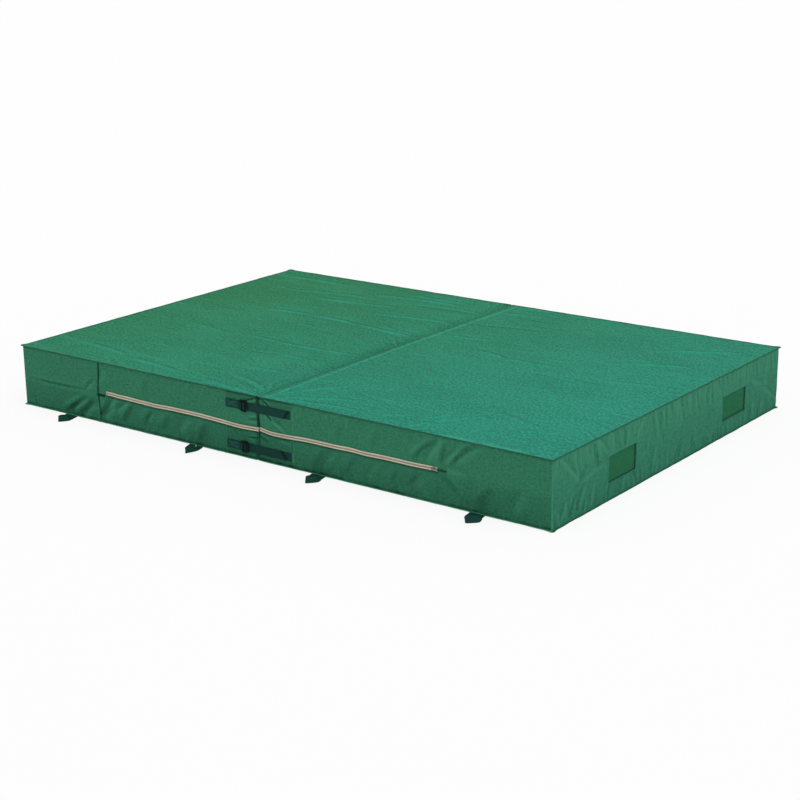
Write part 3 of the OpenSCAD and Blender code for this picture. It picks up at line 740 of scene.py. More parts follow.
def spread(field, a, b):
    """A field's value at places (a, b), as a smooth cubic surface through its lattice."""
    along, across, values = field

    def weights(places, lattice):
        step = lattice[1] - lattice[0]
        t = np.clip((places - lattice[0]) / step, 0, len(lattice) - 1 - 1e-9)
        i = np.floor(t).astype(int)
        u = t - i
        w = [(1 - u) ** 3 / 6, (3 * u**3 - 6 * u**2 + 4) / 6, (-3 * u**3 + 3 * u**2 + 3 * u + 1) / 6, u**3 / 6]
        return [(np.clip(i + k - 1, 0, len(lattice) - 1), w[k]) for k in range(4)]

    total = np.zeros(np.shape(a))
    for i, wi in weights(a, along):
        for j, wj in weights(b, across):
            total += values[i, j] * wi * wj
    return total


# ---- The walls' shape ----

# How far the front slit wanders sideways at heights along it, in tenths of a millimetre, as in the photograph
SLIT_LINE = (
    (0, -80), (400, -60), (800, -30), (1100, 5), (1400, 35), (1550, 42), (1800, 18), (2100, -8), (2500, 0),
    (2850, 15), (3000, 0),
)
# How far the zip runs off its middle height at places along the wall, in tenths of a millimetre, as in the photograph
ZIP_LINE = (
    (-9410, 0), (-9000, 0), (-8600, -25), (-8200, -20), (-7200, -45), (-6200, -60), (-5300, -25), (-4400, -20),
    (-3500, -20), (-2600, -45), (-2000, -65), (-1400, -95), (-1000, -100), (-600, -85), (-300, -70), (-5, -55),
    (5, -10), (200, -40), (430, -75), (700, -105), (1000, -108), (1500, -100), (2000, -70), (2600, -40),
    (3400, -35), (4300, -40), (5000, -10), (5850, -45), (6600, -20), (7400, -15), (8200, -25), (8900, -10),
    (9150, 0), (9560, 0),
)


def read_line(line, places, step, low=-np.inf, high=np.inf):
    """How far a line read from the photograph wanders at places from low to high, evened over a step to each side."""
    along, across = (np.array(v) / 10000 for v in zip(*line))
    return sum(np.interp(np.clip(places + k * step, low, high), along, across) for k in (-1, 0, 1)) / 3


def sway(x, y, z):
    """How far a place near the front end of the fold is shifted along the wall."""
    shift = read_line(SLIT_LINE, np.asarray(z), 0.008)
    return shift * bell(np.asarray(x), 0.045) * (1 - eased((np.asarray(y) + HALF_Y) / 0.12))


def zip_wave(x):
    """How far the zip's line wanders up and down along the front wall, each half's own up to the fold."""
    x, step, edge = np.asarray(x), 0.012, 0.0005
    return np.where(x < 0, read_line(ZIP_LINE, x, step, high=-edge), read_line(ZIP_LINE, x, step, low=edge))


def panel_seam_x(z):
    """Where the seam between the two front panels runs at a height."""
    rise = (0.0, 0.030, 0.069, 0.115, 0.156, 0.235, 0.300)
    return PANEL_SEAM_X + np.interp(z, rise, (0.010, 0.010, 0.008, 0.003, 0.0, 0.009, 0.012))


def arc(x, y, radius, start):
    """(x, y, normal x, normal y) along a quarter turn from an angle, ends left out."""
    turn = np.radians(np.linspace(start, start + 90, 6)[1:-1])
    return np.stack([x + radius * np.cos(turn), y + radius * np.sin(turn), np.cos(turn), np.sin(turn)], 1)


def straight(places, fixed, normal):
    """(x, y, normal x, normal y) along a wall that faces along the normal."""
    flat = np.full(len(places), fixed)
    x, y = (flat, places) if normal[0] else (places, flat)
    return np.stack([x, y, flat * 0 + normal[0], flat * 0 + normal[1]], 1)


def wall_ring(side, cover):
    """(x, y, normal x, normal y) once round a half, counter-clockwise on the right half."""
    r, s, step = cover.corner, cover.slit, 0.0055
    seam = [-PANEL_SEAM_X + k for k in (-0.004, 0, 0.004)] if side < 0 else []
    stops = [SLOT_REACH[side], PATCH_REACH[side], *seam]
    front = np.concatenate([spaced(FOLD_X + s, 0.1, 0.003, 0.07), spaced(0.1, HALF_X - r, step, *stops)[1:]])
    end = spaced(-HALF_Y + r, HALF_Y - r, step, *(y for v in VENTS for y in v[:2]))
    back = spaced(FOLD_X + s, HALF_X - r, step, PATCH_REACH[side])[::-1]
    inner = spaced(-HALF_Y + s, HALF_Y - s, 0.02)[::-1]
    ring = [
        straight(front, -HALF_Y, (0, -1)),
        arc(HALF_X - r, -HALF_Y + r, r, -90),
        straight(end, HALF_X, (1, 0)),
        arc(HALF_X - r, HALF_Y - r, r, 0),
        straight(back, HALF_Y, (0, 1)),
        arc(FOLD_X + s, HALF_Y - s, s, 90),
        straight(inner, FOLD_X, (-1, 0)),
        arc(FOLD_X + s, -HALF_Y + s, s, 180),
    ]
    return np.concatenate(ring) * (side, 1, side, 1)


END_CREASES = read_off(
    (-955, 285, -805, 138, 100, 34, 3), (-845, 290, -800, 140, 90, 28, -3), (-805, 138, -620, 165, 100, 18, 5),
    (800, 150, 1000, 28, 90, 26, 4), (700, 205, 900, 150, 100, 18, -4), (-360, 78, -357, 40, 65, -30, 0),
    (-360, 195, -300, 270, 90, 18, 5), (-575, 88, -630, 30, 90, 18, 5), (-200, 285, -165, 150, 90, 36, 3),
    (-120, 285, -105, 190, 80, 26, -3), (-210, 18, -185, 130, 80, 30, 3), (-700, 285, -655, 170, 110, -28, 4),
    (-660, 285, -600, 210, 80, 24, 4), (20, 285, 50, 160, 90, 26, -4), (160, 285, 170, 200, 80, 24, 4),
    (300, 285, 270, 170, 100, -24, -4), (370, 285, 400, 205, 80, 22, 4), (-930, 18, -900, 100, 80, 26, 3),
    (-870, 18, -830, 115, 90, -26, 3), (-800, 18, -760, 130, 90, 30, 3),
)
FRONT_CREASES = read_off(
    (-1430, 143, -1090, 146, 55, -60, -1), (-1420, 133, -1080, 136, 80, 20, -1),
    (-1084, 146, -1020, 205, 80, -30, 4), (-1066, 144, -1005, 195, 100, 26, 4),
    (-1235, 12, -1110, 70, 120, -34, 3), (-1205, 20, -1055, 116, 105, -52, 3),
    (-1170, 20, -1050, 98, 140, 40, 3), (-1134, 8, -1020, 106, 150, -56, 3),
    (-1080, 10, -1010, 80, 130, 36, 3), (-985, 30, -925, 112, 130, -46, 2), (-925, 74, -870, 132, 110, 46, 2),
    (-950, 20, -880, 85, 150, 36, 2), (-870, 66, -780, 130, 100, 46, 2), (-840, 30, -762, 132, 140, -42, 2),
    (-700, 45, -640, 118, 150, -30, 2), (-668, 58, -634, 106, 100, 34, 2), (-590, 35, -530, 112, 170, -28, 2),
    (-470, 40, -400, 122, 180, 28, 2), (-360, 30, -300, 120, 180, -26, 2), (-990, 165, -930, 260, 130, 16, 5),
    (-700, 175, -660, 270, 170, -16, 5), (300, 30, 370, 120, 144, -18, 2), (360, 30, 440, 125, 128, 17, 2),
    (470, 30, 540, 128, 136, -18, 2), (600, 30, 660, 120, 120, 14, 2), (720, 30, 750, 115, 128, -16, 2),
    (440, 175, 470, 260, 160, -14, 5), (620, 175, 660, 260, 150, -16, 5), (830, 172, 944, 268, 100, -52, 4),
    (908, 173, 983, 276, 120, 46, 4), (968, 172, 993, 266, 90, -46, 4), (992, 177, 1075, 252, 100, 44, 4),
    (1017, 182, 1126, 281, 100, -50, 4), (1046, 183, 1162, 273, 120, 30, 4), (858, 189, 929, 245, 80, 26, 4),
    (860, 120, 800, 50, 150, -26, 5), (980, 150, 1100, 145, 100, 22, 5), (970, 130, 1060, 60, 140, -24, 5),
    (1150, 40, 1220, 120, 180, -24, 3), (1330, 40, 1380, 130, 180, 22, 3),
)
# Creases that fan from the top of the fold, and the short dark one under the upper strap
FOLD_CREASES = read_off(
    (2, 287, 34, 256, 36, 44, 2), (12, 282, 56, 250, 36, 46, 2), (6, 286, 46, 252, 32, -52, 2),
    (22, 284, 75, 256, 34, -52, 2), (-4, 278, -62, 254, 42, 40, -2), (-2, 287, -80, 258, 34, -50, -2),
    (-10, 262, -50, 252, 36, 34, -2), (49, 217, 80, 196, 42, -82, 2), (30, 214, 135, 170, 60, 24, 2),
    (85, 196, 160, 163, 55, 30, 2), (75, 190, 140, 160, 50, -20, 2), (-6, 203, -55, 198, 40, 24, 0),
    (-6, 190, -70, 186, 40, -22, 0), (-6, 176, -60, 176, 40, 20, 0), (-6, 120, -50, 112, 45, 20, 0),
    (-10, 106, -70, 100, 45, -20, 0), (8, 118, 60, 100, 50, -22, 2), (110, 125, 180, 112, 80, 16, 2),
)


def end_folds(rng, side):
    """An end wall's folds: gathers along its seams, pulls at the vents' corners and those in the photograph."""
    folds = puckers(rng, -0.98, 0.98, TOP_SEAM_Z, -1, 0.036, 0.105, 0.0080, 0.0019, 0.20)
    folds += puckers(rng, -0.98, 0.98, BASE_SEAM_Z, 1, 0.036, 0.090, 0.0080, 0.0018, 0.20)
    folds += puckers(rng, -0.9, 0.9, 0.13, 1, 0.16, 0.09, 0.013, 0.0014, 0.6)
    for low, high, under, over in VENTS:
        for y, out in ((low, -1), (high, 1)):
            for z, up in ((under, -1), (over, 1)):
                folds.append((y, z, y + out * 0.035, z + up * 0.035, 0.0045, 0.0014, 0.03))
                folds.append((y, z, y + out * 0.012, z + up * 0.045, 0.0040, -0.0012, 0.03))
    return folds + [(side * a, b, side * c, d, w, h, side * k) for a, b, c, d, w, h, k in END_CREASES]


def outside_vent(y, z, low, high, under, over):
    """How far a place of an end wall lies outside a vent's window."""
    return np.maximum(np.maximum(low - y, y - high), np.maximum(under - z, z - over))


def wall_lift(side, ring, zs, cover, fields):
    """Outward move of each point of a half's wall, and its painted shading and wear, as rows of z by columns of the
    ring.
    """
    x, y, nx, ny = (np.broadcast_to(ring[:, k], (len(zs), len(ring))) for k in range(4))
    z = np.broadcast_to(zs[:, None], x.shape)
    front, back, end, inner = ny < -0.99, ny > 0.99, side * nx > 0.99, side * nx < -0.5
    along = np.where(np.abs(ny) > 0.5, x, y)
    seams = np.minimum(z - BASE_SEAM_Z, TOP_SEAM_Z - z)
    free, folding = eased(seams / 0.02), eased(seams / 0.006)
    swell = np.sin(np.pi * np.clip((z - BASE_SEAM_Z) / (TOP_SEAM_Z - BASE_SEAM_Z), 0, 1)) ** 0.65
    rng = np.random.default_rng(11 + side)

    # Away from the patch and the zip the long walls swell; the corners hold them in
    away = eased((np.abs(x) - 0.17) / 0.12) * (0.35 + 0.65 * eased((HALF_X - np.abs(x)) / 0.16))
    lobes = np.where(z > ZIP_Z, (z - SLOT_HIGH) / (TOP_SEAM_Z - SLOT_HIGH), (SLOT_LOW - z) / (SLOT_LOW - BASE_SEAM_Z))
    lobed = np.sin(np.pi * np.clip(lobes, 0, 1)) ** 0.8 * 0.8
    near_end = eased((np.maximum(SLOT_LEFT - x, x - SLOT_RIGHT)) / 0.12)
    share = np.where(x < 0, eased((SLOT_LEFT - x) / 0.05), near_end)
    lift = np.where(front, cover.bulge * away * (lobed * (1 - share) + swell * share), 0)
    lift += back * cover.bulge * away * swell
    lift += end * 1.25 * cover.bulge * swell * (0.35 + 0.65 * eased((HALF_Y - np.abs(y)) / 0.2))

    # What the slack fabric settled to, kept small, and soft unevenness
    keep = free * np.where(front | back, away, 1.0)
    for name, mask in (("front", front), ("back", back), ("right" if side > 0 else "left", end)):
        lift += mask * 0.0032 * np.tanh(spread(fields[name], along, z) / 0.009) * keep
    lift += (end | front | back) * 0.0011 * noise(along, z * 1.6, 0.16, 5 + side, 2) * keep

    # Folds: the front's, the back's and the end's
    lines = puckers(rng, -1.48, 1.48, TOP_SEAM_Z, -1, 0.055, 0.05, 0.0075, 0.0009)
    lines += puckers(rng, -1.48, 1.48, BASE_SEAM_Z, 1, 0.05, 0.06, 0.0085, 0.0011)
    marks = creases(x, z, [line for line in lines if abs(line[0]) > 0.21] + FRONT_CREASES) * folding
    fans = creases(x, z, FOLD_CREASES) * folding
    lift += front * (marks + 1.2 * fans)
    # The front's folds are painted paler on their ridges and darker in their valleys: painted highlight and painted
    # shade
    wear = np.where(front, np.tanh(fans / 0.0028) * 2.6 + np.tanh(marks / 0.0036) * np.where(marks > 0, 1.7, 1.25), 0)
    lines = puckers(rng, -1.48, 1.48, TOP_SEAM_Z, -1, 0.06, 0.06, 0.008, 0.0010)
    lines += puckers(rng, -1.48, 1.48, BASE_SEAM_Z, 1, 0.06, 0.06, 0.009, 0.0012)
    lines += puckers(rng, -1.4, 1.4, 0.12, 1, 0.2, 0.10, 0.016, 0.0018, 0.9)
    marks = creases(x, z, [line for line in lines if abs(line[0]) > 0.25]) * folding
    lift += back * 1.5 * marks
    # The back's folds are painted paler on ridges and darker in valleys: painted highlight and painted shade
    wear += back * marks / 0.0026
    hemmed = np.maximum.reduce([1 - eased((outside_vent(y, z, *vent) - 0.010) / 0.006) for vent in VENTS])
    marks = creases(y, z, end_folds(rng, side)) * folding * (1 - 0.75 * hemmed)
    lift += end * (1.5 * marks + 0.0007 * hemmed)
    # The end's folds are painted paler on ridges and darker in valleys: painted highlight and painted shade
    wear += end * np.tanh(marks / 0.0026) * np.where(marks > 0, 1.5, 1.2)

    # Under the straps the patch's ground stays flat or goes in
    strapped = np.minimum.reduce([np.abs(z - level) for level in STRAP_Z.values()]) < 0.03
    lift = np.where((front | back) & strapped & (np.abs(x) < 0.19), np.minimum(lift, 0) * 0.3, lift)
    # The zip holds its wall nearly flat
    slotted = front & (x > SLOT_LEFT - 0.02) & (x < SLOT_RIGHT + 0.02) & (np.abs(z - ZIP_Z) < 0.05)
    calm = eased((np.abs(z - ZIP_Z) - SLOT_HEIGHT / 2) / 0.035)
    lift = np.where(slotted, lift * calm + 0.0006 * (1 - calm), lift)
    if side < 0:
        # The seam between the two front panels pulls in, and its line is painted dark: painted shade
        gap = np.abs(x - panel_seam_x(z))
        lift = np.where(front, lift * eased(gap / 0.03 + 0.25) - 0.0022 * bell(gap, 0.0035) * free, lift)
        wear -= front * (2.0 + 1.0 * (z > 0.15)) * bell(gap, 0.0048) * (z > 0.035)
    # The wall at the fold leans away from the other half
    lift = np.where(inner, -0.0012 * swell * np.abs(noise(y, z, 0.09, 3, 2)), lift)
    # The rounded upright corners are painted paler: painted highlight
    wear += (np.abs(nx * ny) > 0.12) * 2.2 * np.abs(nx * ny)
    return lift, wear - shade_and_dust(x, y, z, front, back, end, inner)


def shade_and_dust(x, y, z, front, back, end, inner):
    """How much darker (above 0) or paler (below 0) the walls are painted: painted shade in the slit, under the top
    seam, beside the zip's slot, just above the base seam and round the vents, painted highlight near the vents, the
    walls darker towards the floor and the ends paler near the top, and the front near the fold darker or paler by
    height.
    """
    # Painted shade in the slit at the fold, and a painted shadow line under the top seam
    slit = (6.0 * bell(x, 0.0062) + 1.3 * bell(x, 0.012)) * np.where(inner, 0.6, 1.0)
    darkening = slit * (0.75 + 0.4 * bell(z - 0.17, 0.035) + 0.4 * bell(z - 0.29, 0.02)) + 0.9 * bell(TOP_SEAM_Z - z, 0.005)
    # The walls are darker towards the floor: painted shade, with some dust. The ends are also painted paler near the
    # top: painted light
    darkening += (front | back) * np.interp(z, (0.0, 0.04, 0.08, 0.12, 0.155), (1.0, 0.95, 0.72, 0.56, 0.0))
    rise, darker_by_height = (0.0, 0.02, 0.05, 0.10, 0.16, 0.22, 0.30), (1.0, 0.62, 0.38, 0.22, 0.02, -0.45, -0.95)
    darkening += end * np.interp(z, rise, darker_by_height)
    rise, darker_by_height = (0.0, 0.13, 0.16, 0.20, 0.26, 0.3), (0.4, 0.3, -0.45, -0.4, 0.5, 0.6)
    darkening += front * (1 - eased((np.abs(x) - 0.15) / 0.08)) * np.interp(z, rise, darker_by_height)
    # Painted shade in dark lines below and above the zip's slot
    by_slot = front & (x > SLOT_LEFT - 0.003) & (x < SLOT_RIGHT + 0.003)
    darkening += (by_slot & (z < ZIP_Z)) * 2.6 * bell(SLOT_LOW - z, 0.0065)
    darkening += (by_slot & (z > ZIP_Z)) * 1.3 * bell(z - SLOT_HIGH, 0.0045)
    # A painted shadow line just above the front's base seam
    base_shadow = bell(z - BASE_SEAM_Z - 0.008, 0.0045) * (0.6 + 0.4 * noise(x, z * 0, 0.03, 91, 2))
    darkening += front * 2.5 * base_shadow
    hair, past = 1e-6, 0.002
    # Round each vent: painted shade along its back side, under it and just above it, and painted highlight a little
    # above it and just beyond its front side
    for low, high, under, over in VENTS:
        beside = end & (z > under - past) & (z < over + past)
        level = end & (y > low - past) & (y < high + past)
        darkening += beside * 3.0 * bell(np.maximum(y - high, 0), 0.0055) * (y > high - hair)
        darkening += level * 2.6 * bell(under - z, 0.0045) * (z < under + hair)
        darkening += level * 1.6 * bell(z - over, 0.0035) * (z > over - hair)
        darkening -= level * 0.9 * bell(z - over - 0.009, 0.0035)
        darkening -= beside * 0.7 * bell(low - 0.006 - y, 0.0035)
    return darkening


def build_walls(side, cover, fields):
    """A half's walls, with the zip's slot and the vents' windows hemmed: (ring, heights, painted shading and wear,
    points, faces).
    """
    ring = wall_ring(side, cover)
    x, y, nx, ny = ring.T
    zs = spaced(BASE_SEAM_Z, TOP_SEAM_Z, 0.0062, SLOT_LOW, SLOT_HIGH, *(z for v in VENTS for z in v[2:]))
    lift, wear = wall_lift(side, ring, zs, cover, fields)
    rows, columns = lift.shape
    beside_zip = 1 - eased((np.abs(zs - ZIP_Z) - SLOT_HEIGHT / 2) / 0.06)
    drop = beside_zip[:, None] * eased((-ny - 0.1) / 0.6) * zip_wave(x)
    points = [x + nx * lift + sway(x, y, zs[:, None]), y + ny * lift, zs[:, None] + drop]
    points = np.stack(points, 2).reshape(-1, 3)

    # The faces inside the zip's slot and the windows are left out
    faces = grid_faces(rows, columns, closed=True)
    row, column = faces[:, 0] // columns, faces[:, 0] % columns
    after = (column + 1) % columns
    mid_z = (zs[row] + zs[np.minimum(row + 1, rows - 1)]) / 2
    mid_x, mid_y = ((v[column] + v[after]) / 2 for v in (x, y))
    front = (mid_y < -HALF_Y + cover.slit) & (ny[column] < 0.01)
    end = side * nx[column] > 0.99
    cut = front & (mid_x > SLOT_LEFT) & (mid_x < SLOT_RIGHT) & (mid_z > SLOT_LOW) & (mid_z < SLOT_HIGH)
    for vent in VENTS:
        cut |= end & (outside_vent(mid_y, mid_z, *vent) < 0)

    # The edge of each opening turns in and back, as a folded hem
    rim, numbers = open_edges(faces[cut])
    turned_in = {i: len(points) + k for k, i in enumerate(numbers)}
    inward = -np.stack([nx, ny, nx * 0], 1)[[i % columns for i in numbers]]
    first = points[numbers] + inward * 0.0012
    second = first + inward * 0.0022
    count = len(numbers)
    hem = [(a, b, turned_in[b], turned_in[a]) for a, b in rim]
    hem += [(turned_in[a], turned_in[b], turned_in[b] + count, turned_in[a] + count) for a, b in rim]
    # The hem's two turned rows are painted dark: painted shade inside the openings
    wear = np.concatenate([wear.ravel(), np.full(2 * count, -2.0)])
    kept_faces = np.concatenate([faces[~cut], np.array(hem)[:, ::-1]])
    return ring, zs, wear, np.concatenate([points, first, second]), kept_faces[:, ::side]


def build_base(side, cover):
    """The half's base sheet: on the floor, with its rim rising to the seam."""
    xs, ys = (
        spaced(low, high, 0.03, low + 0.006, low + 0.02, high - 0.006, high - 0.02)
        for low, high in ((FOLD_X, HALF_X), (-HALF_Y, HALF_Y))
    )
    x, y = np.meshgrid(side * xs, ys, indexing="ij")
    rim = np.minimum(np.minimum(HALF_X - np.abs(x), HALF_Y - np.abs(y)), np.abs(x) - FOLD_X)
    z = BASE_SEAM_Z * (1 - np.sqrt(1 - (1 - np.clip(rim / 0.02, 0, 1)) ** 2))
    z = z + 0.0007 * np.abs(noise(x, y, 0.2, 9, 2)) * eased(rim / 0.05)
    return np.stack([*rounded(x, y, cover.corner), z], 2), grid_faces(*x.shape)[:, ::-side]


def rounded(x, y, radius):
    """Places with those near the mat's four corners drawn in to a rounded corner."""
    dx, dy = np.abs(x) - (HALF_X - radius), np.abs(y) - (HALF_Y - radius)
    near = (dx > 0) & (dy > 0)
    shrink = np.where(near, np.maximum(dx, dy) / np.maximum(np.hypot(dx, dy), 1e-9), 1.0)
    return (
        np.where(near, np.sign(x) * (HALF_X - radius + dx * shrink), x),
        np.where(near, np.sign(y) * (HALF_Y - radius + dy * shrink), y),
    )


# ---- Camera and image points ----


def camera_axes():
    """The camera's right, up and back directions, and where it stands."""
    stage = bpy.context.scene.mat_stage
    a, e = stage.azimuth, stage.pitch
    back = Vector((math.sin(a) * math.cos(e), -math.cos(a) * math.cos(e), math.sin(e)))
    level = Vector((math.cos(a), math.sin(a), 0.0))
    up = back.cross(level)
    c, s = math.cos(stage.roll), math.sin(stage.roll)
    return level * c + up * s, up * c - level * s, back, Vector(stage.place)


def reach_in_pixels():
    """The camera's focal length in pixels of the photograph."""
    return LONG_SIDE * bpy.context.scene.mat_stage.lens / SENSOR


def ray_of(x, y):
    """The direction of the ray through a point of the photograph."""
    right, up, back, _ = camera_axes()
    return ((x - FRAME_W / 2) * right + (FRAME_H / 2 - y) * up - reach_in_pixels() * back).normalized()


def shown(places):
    """Where places show in the photograph, as rows of (x, y)."""
    right, up, back, eye = (np.array(v) for v in camera_axes())
    away = np.asarray(places, float).reshape(-1, 3) - eye
    reach = reach_in_pixels() / -(away @ back)
    return np.stack([FRAME_W / 2 + away @ right * reach, FRAME_H / 2 - away @ up * reach], 1)


def tree_of(piece):
    """A BVHTree of a piece as it stands."""
    points = [piece.matrix_world @ v.co for v in piece.data.vertices]
    return BVHTree.FromPolygons(points, [tuple(p.vertices) for p in piece.data.polygons])


def placed(name, carrier):
    """Where the ray through a named image point meets what carries the piece, or comes nearest to it."""
    direction, eye = ray_of(*POINTS[name]), camera_axes()[3]
    tree = tree_of(carrier)
    hit = tree.ray_cast(eye, direction)[0]
    if hit is None:
        probes = [tree.find_nearest(eye + direction * (t * 0.05)) for t in range(100, 260)]
        hit = min(
            (p[0] for p in probes if p[0] is not None),
            key=lambda p: ((p - eye) - (p - eye).dot(direction) * direction).length,
        )
    return hit


def piece_points(piece):
    flat = np.zeros(len(piece.data.vertices) * 3)
    piece.data.vertices.foreach_get("co", flat)
    world = np.array(piece.matrix_world)
    return flat.reshape(-1, 3) @ world[:3, :3].T + world[:3, 3]


def write_points():
    """Works out where each named thing shows on average in the photograph's frame, and keeps nothing."""
    pieces = [o for o in bpy.context.scene.objects if o.type == "MESH" and not o.hide_render and "stage" not in o.name]
    every = np.concatenate([shown(piece_points(o)) for o in pieces])
    corners = {
        "near_top_corner": (HALF_X, -HALF_Y, TOP_SEAM_Z), "near_base_corner": (HALF_X, -HALF_Y, BASE_SEAM_Z),
        "right_base_corner": (HALF_X, HALF_Y, BASE_SEAM_Z), "left_base_corner": (-HALF_X, -HALF_Y, BASE_SEAM_Z),
    }
    for name, places in (SHOWN | corners).items():
        tuple(shown(places).mean(axis=0))


# ---- Ribbons, seams and stitches ----


def on_face(face, x, out, z):
    """Points on a long wall: face is -1 in front and 1 behind, out stands out of the wall."""
    x, out, z = np.broadcast_arrays(x, out, z)
    return np.stack([x, face * (HALF_Y + out), z], -1)


def traced(tree, track, normal):
    """The surface's points under a track of (x, z) on a long wall or (y, z) on an end, seen along the normal."""
    above = 0.1
    out = []
    for a, z in track:
        eye = (normal[0] * (HALF_X + above), a, z) if normal[0] else (a, normal[1] * (HALF_Y + above), z)
        hit = tree.ray_cast(Vector(eye), -Vector(normal))[0]
        if hit is not None:
            out.append(tuple(hit))
    return np.array(out)


def turned(centre, radius, start, end, steps):
    """Points of an arc in a flat path, in degrees."""
    turn = np.radians(np.linspace(start, end, steps + 1))
    return [(centre[0] + radius * math.cos(t), centre[1] + radius * math.sin(t)) for t in turn]


def evenly(path, step=0.004):
    """A path's points about a step apart along it, corners kept where they are."""
    out = [np.asarray(path[0], float)]
    for a, b in zip(path, path[1:]):
        a, b = np.asarray(a, float), np.asarray(b, float)
        count = max(1, int(np.linalg.norm(b - a) / step))
        out += [a + (b - a) * (k / count) for k in range(1, count + 1)]
    return np.array(out)


def smooth_path(corners, step):
    """A smooth curve through corners (Catmull-Rom), as points about a step apart."""
    p = [2 * corners[0] - corners[1], *corners, 2 * corners[-1] - corners[-2]]
    out = []
    for a, b, c, d in zip(p, p[1:], p[2:], p[3:]):
        count = max(2, int(np.linalg.norm(c - b) / step))
        for t in np.arange(count) / count:
            curve = (2 * a - 5 * b + 4 * c - d) * t**2 + (3 * b - a - 3 * c + d) * t**3
            out.append(0.5 * (2 * b + (c - a) * t + curve))
    return np.array([*out, p[-2]])


def band_section(width, thick, columns):
    """(across, through) points round a strap's section, with soft selvedges."""
    edge = thick * 0.42
    across = np.linspace(-width / 2 + edge, width / 2 - edge, columns)
    top = [(a, thick / 2) for a in across]
    return np.array([(-width / 2, 0.0), *top, (width / 2, 0.0), *[(a, -thick / 2) for a in across[::-1]]])


def ribbon_of(path, section):
    """(along, across) of each point of a section carried along a path."""
    grid = np.broadcast_arrays(lengths_along(path)[:, None], section[None, :, 0])
    return np.stack(grid, 2).reshape(-1, 2)


def sweep(parts, centres, sides, normals, section, wear=None):
    """A closed section carried along centres, with its own across and through directions at each."""
    centres = np.asarray(centres, float)
    sides, normals = (np.broadcast_to(np.asarray(v, float), centres.shape) for v in (sides, normals))
    points = centres[:, None] + sides[:, None] * section[None, :, :1] + normals[:, None] * section[None, :, 1:]
    parts.tube(points, ribbon_of(centres, section), wear)


def wall_band(parts, face, path, z, width, thick, columns, waver, shaded_and_worn, shear=None):
    """A strap on a long wall, along a path of (x, out) places, that wavers a little off the wall.

    The function after waver gives its painted shading and wear by x, place across and place along, and shear moves x
    by place along and across."""
    lead = unit(np.gradient(path, axis=0))
    section = band_section(width, thick, columns)
    across = section[None, :, 0] / width
    x = path[:, :1] - lead[:, 1:] * section[None, :, 1]
    out = path[:, 1:] + lead[:, :1] * section[None, :, 1]
    if shear is not None:
        x = x + shear(path[:, :1], across)
    height = np.broadcast_to(z + section[None, :, 0], x.shape)
    out = out + waver * np.abs(noise(x, height, 0.022, 17, 2))
    along = lengths_along(path)[:, None]
    parts.tube(on_face(face, x, out, height), ribbon_of(path, section), shaded_and_worn(x, across, along / along[-1]).ravel())


# A stitch: its first end, two rings of four round its middle, and its other end
STITCH_FACES = [(0, 2, 1), (0, 3, 2), (0, 4, 3), (0, 1, 4), (9, 5, 6), (9, 6, 7), (9, 7, 8), (9, 8, 5)]
STITCH_FACES += [(1, 2, 6, 5), (2, 3, 7, 6), (3, 4, 8, 7), (4, 1, 5, 8)]


def stitch_row(parts, places, normal):
    """Short raised stitches along places, on a surface that faces along the normal."""
    trim, places = bpy.context.scene.mat_trim, np.asarray(places, float)
    along = lengths_along(places)
    pitch = trim.stitch + trim.stitch_gap
    count = int(along[-1] / pitch)
    if count < 1:
        return
    starts = np.arange(count) * pitch
    a, b = (
        np.stack([np.interp(spots, along, places[:, k]) for k in range(3)], 1)
        for spots in (starts, starts + trim.stitch)
    )
    r, n = trim.thread, np.broadcast_to(np.asarray(normal, float), a.shape)
    lead = b - a
    side = unit(np.cross(lead, n))
    mid = (a + b) / 2 + n * r * 0.5
    ring = [side * r * 1.1, n * r, -side * r * 1.1, -n * r]
    rings = [mid + lead * shift + k for shift in (-0.22, 0.22) for k in ring]
    points = np.stack([a - n * r * 0.6, *rings, b - n * r * 0.6], 1)
    parts.take(points, [tuple(i + 10 * k for i in f) for k in range(count) for f in STITCH_FACES])


def seam_path(side, cover):
    """The places round a half that its top and base seams follow: front, end and back, dying into the fold."""
    ring = wall_ring(side, cover)
    start = int(np.flatnonzero(side * ring[:, 2] < -0.86)[-1]) + 1
    rolled = np.roll(ring, -start, axis=0)
    return rolled[side * rolled[:, 2] > -0.87]


# A seam's section: shares of how far its edge stands out, and of half its thickness. It starts at the wall,
# goes out under the lower layer, round the notch between the two layers and back over the upper one.
SEAM_SECTION = (
    (-0.5, -0.7), (0.55, -0.75), (0.97, -0.9), (1.0, -0.15), (0.93, 0.0), (1.0, 0.2), (0.98, 0.9), (0.6, 0.8),
    (0.25, 0.95), (-0.5, 0.8),
)


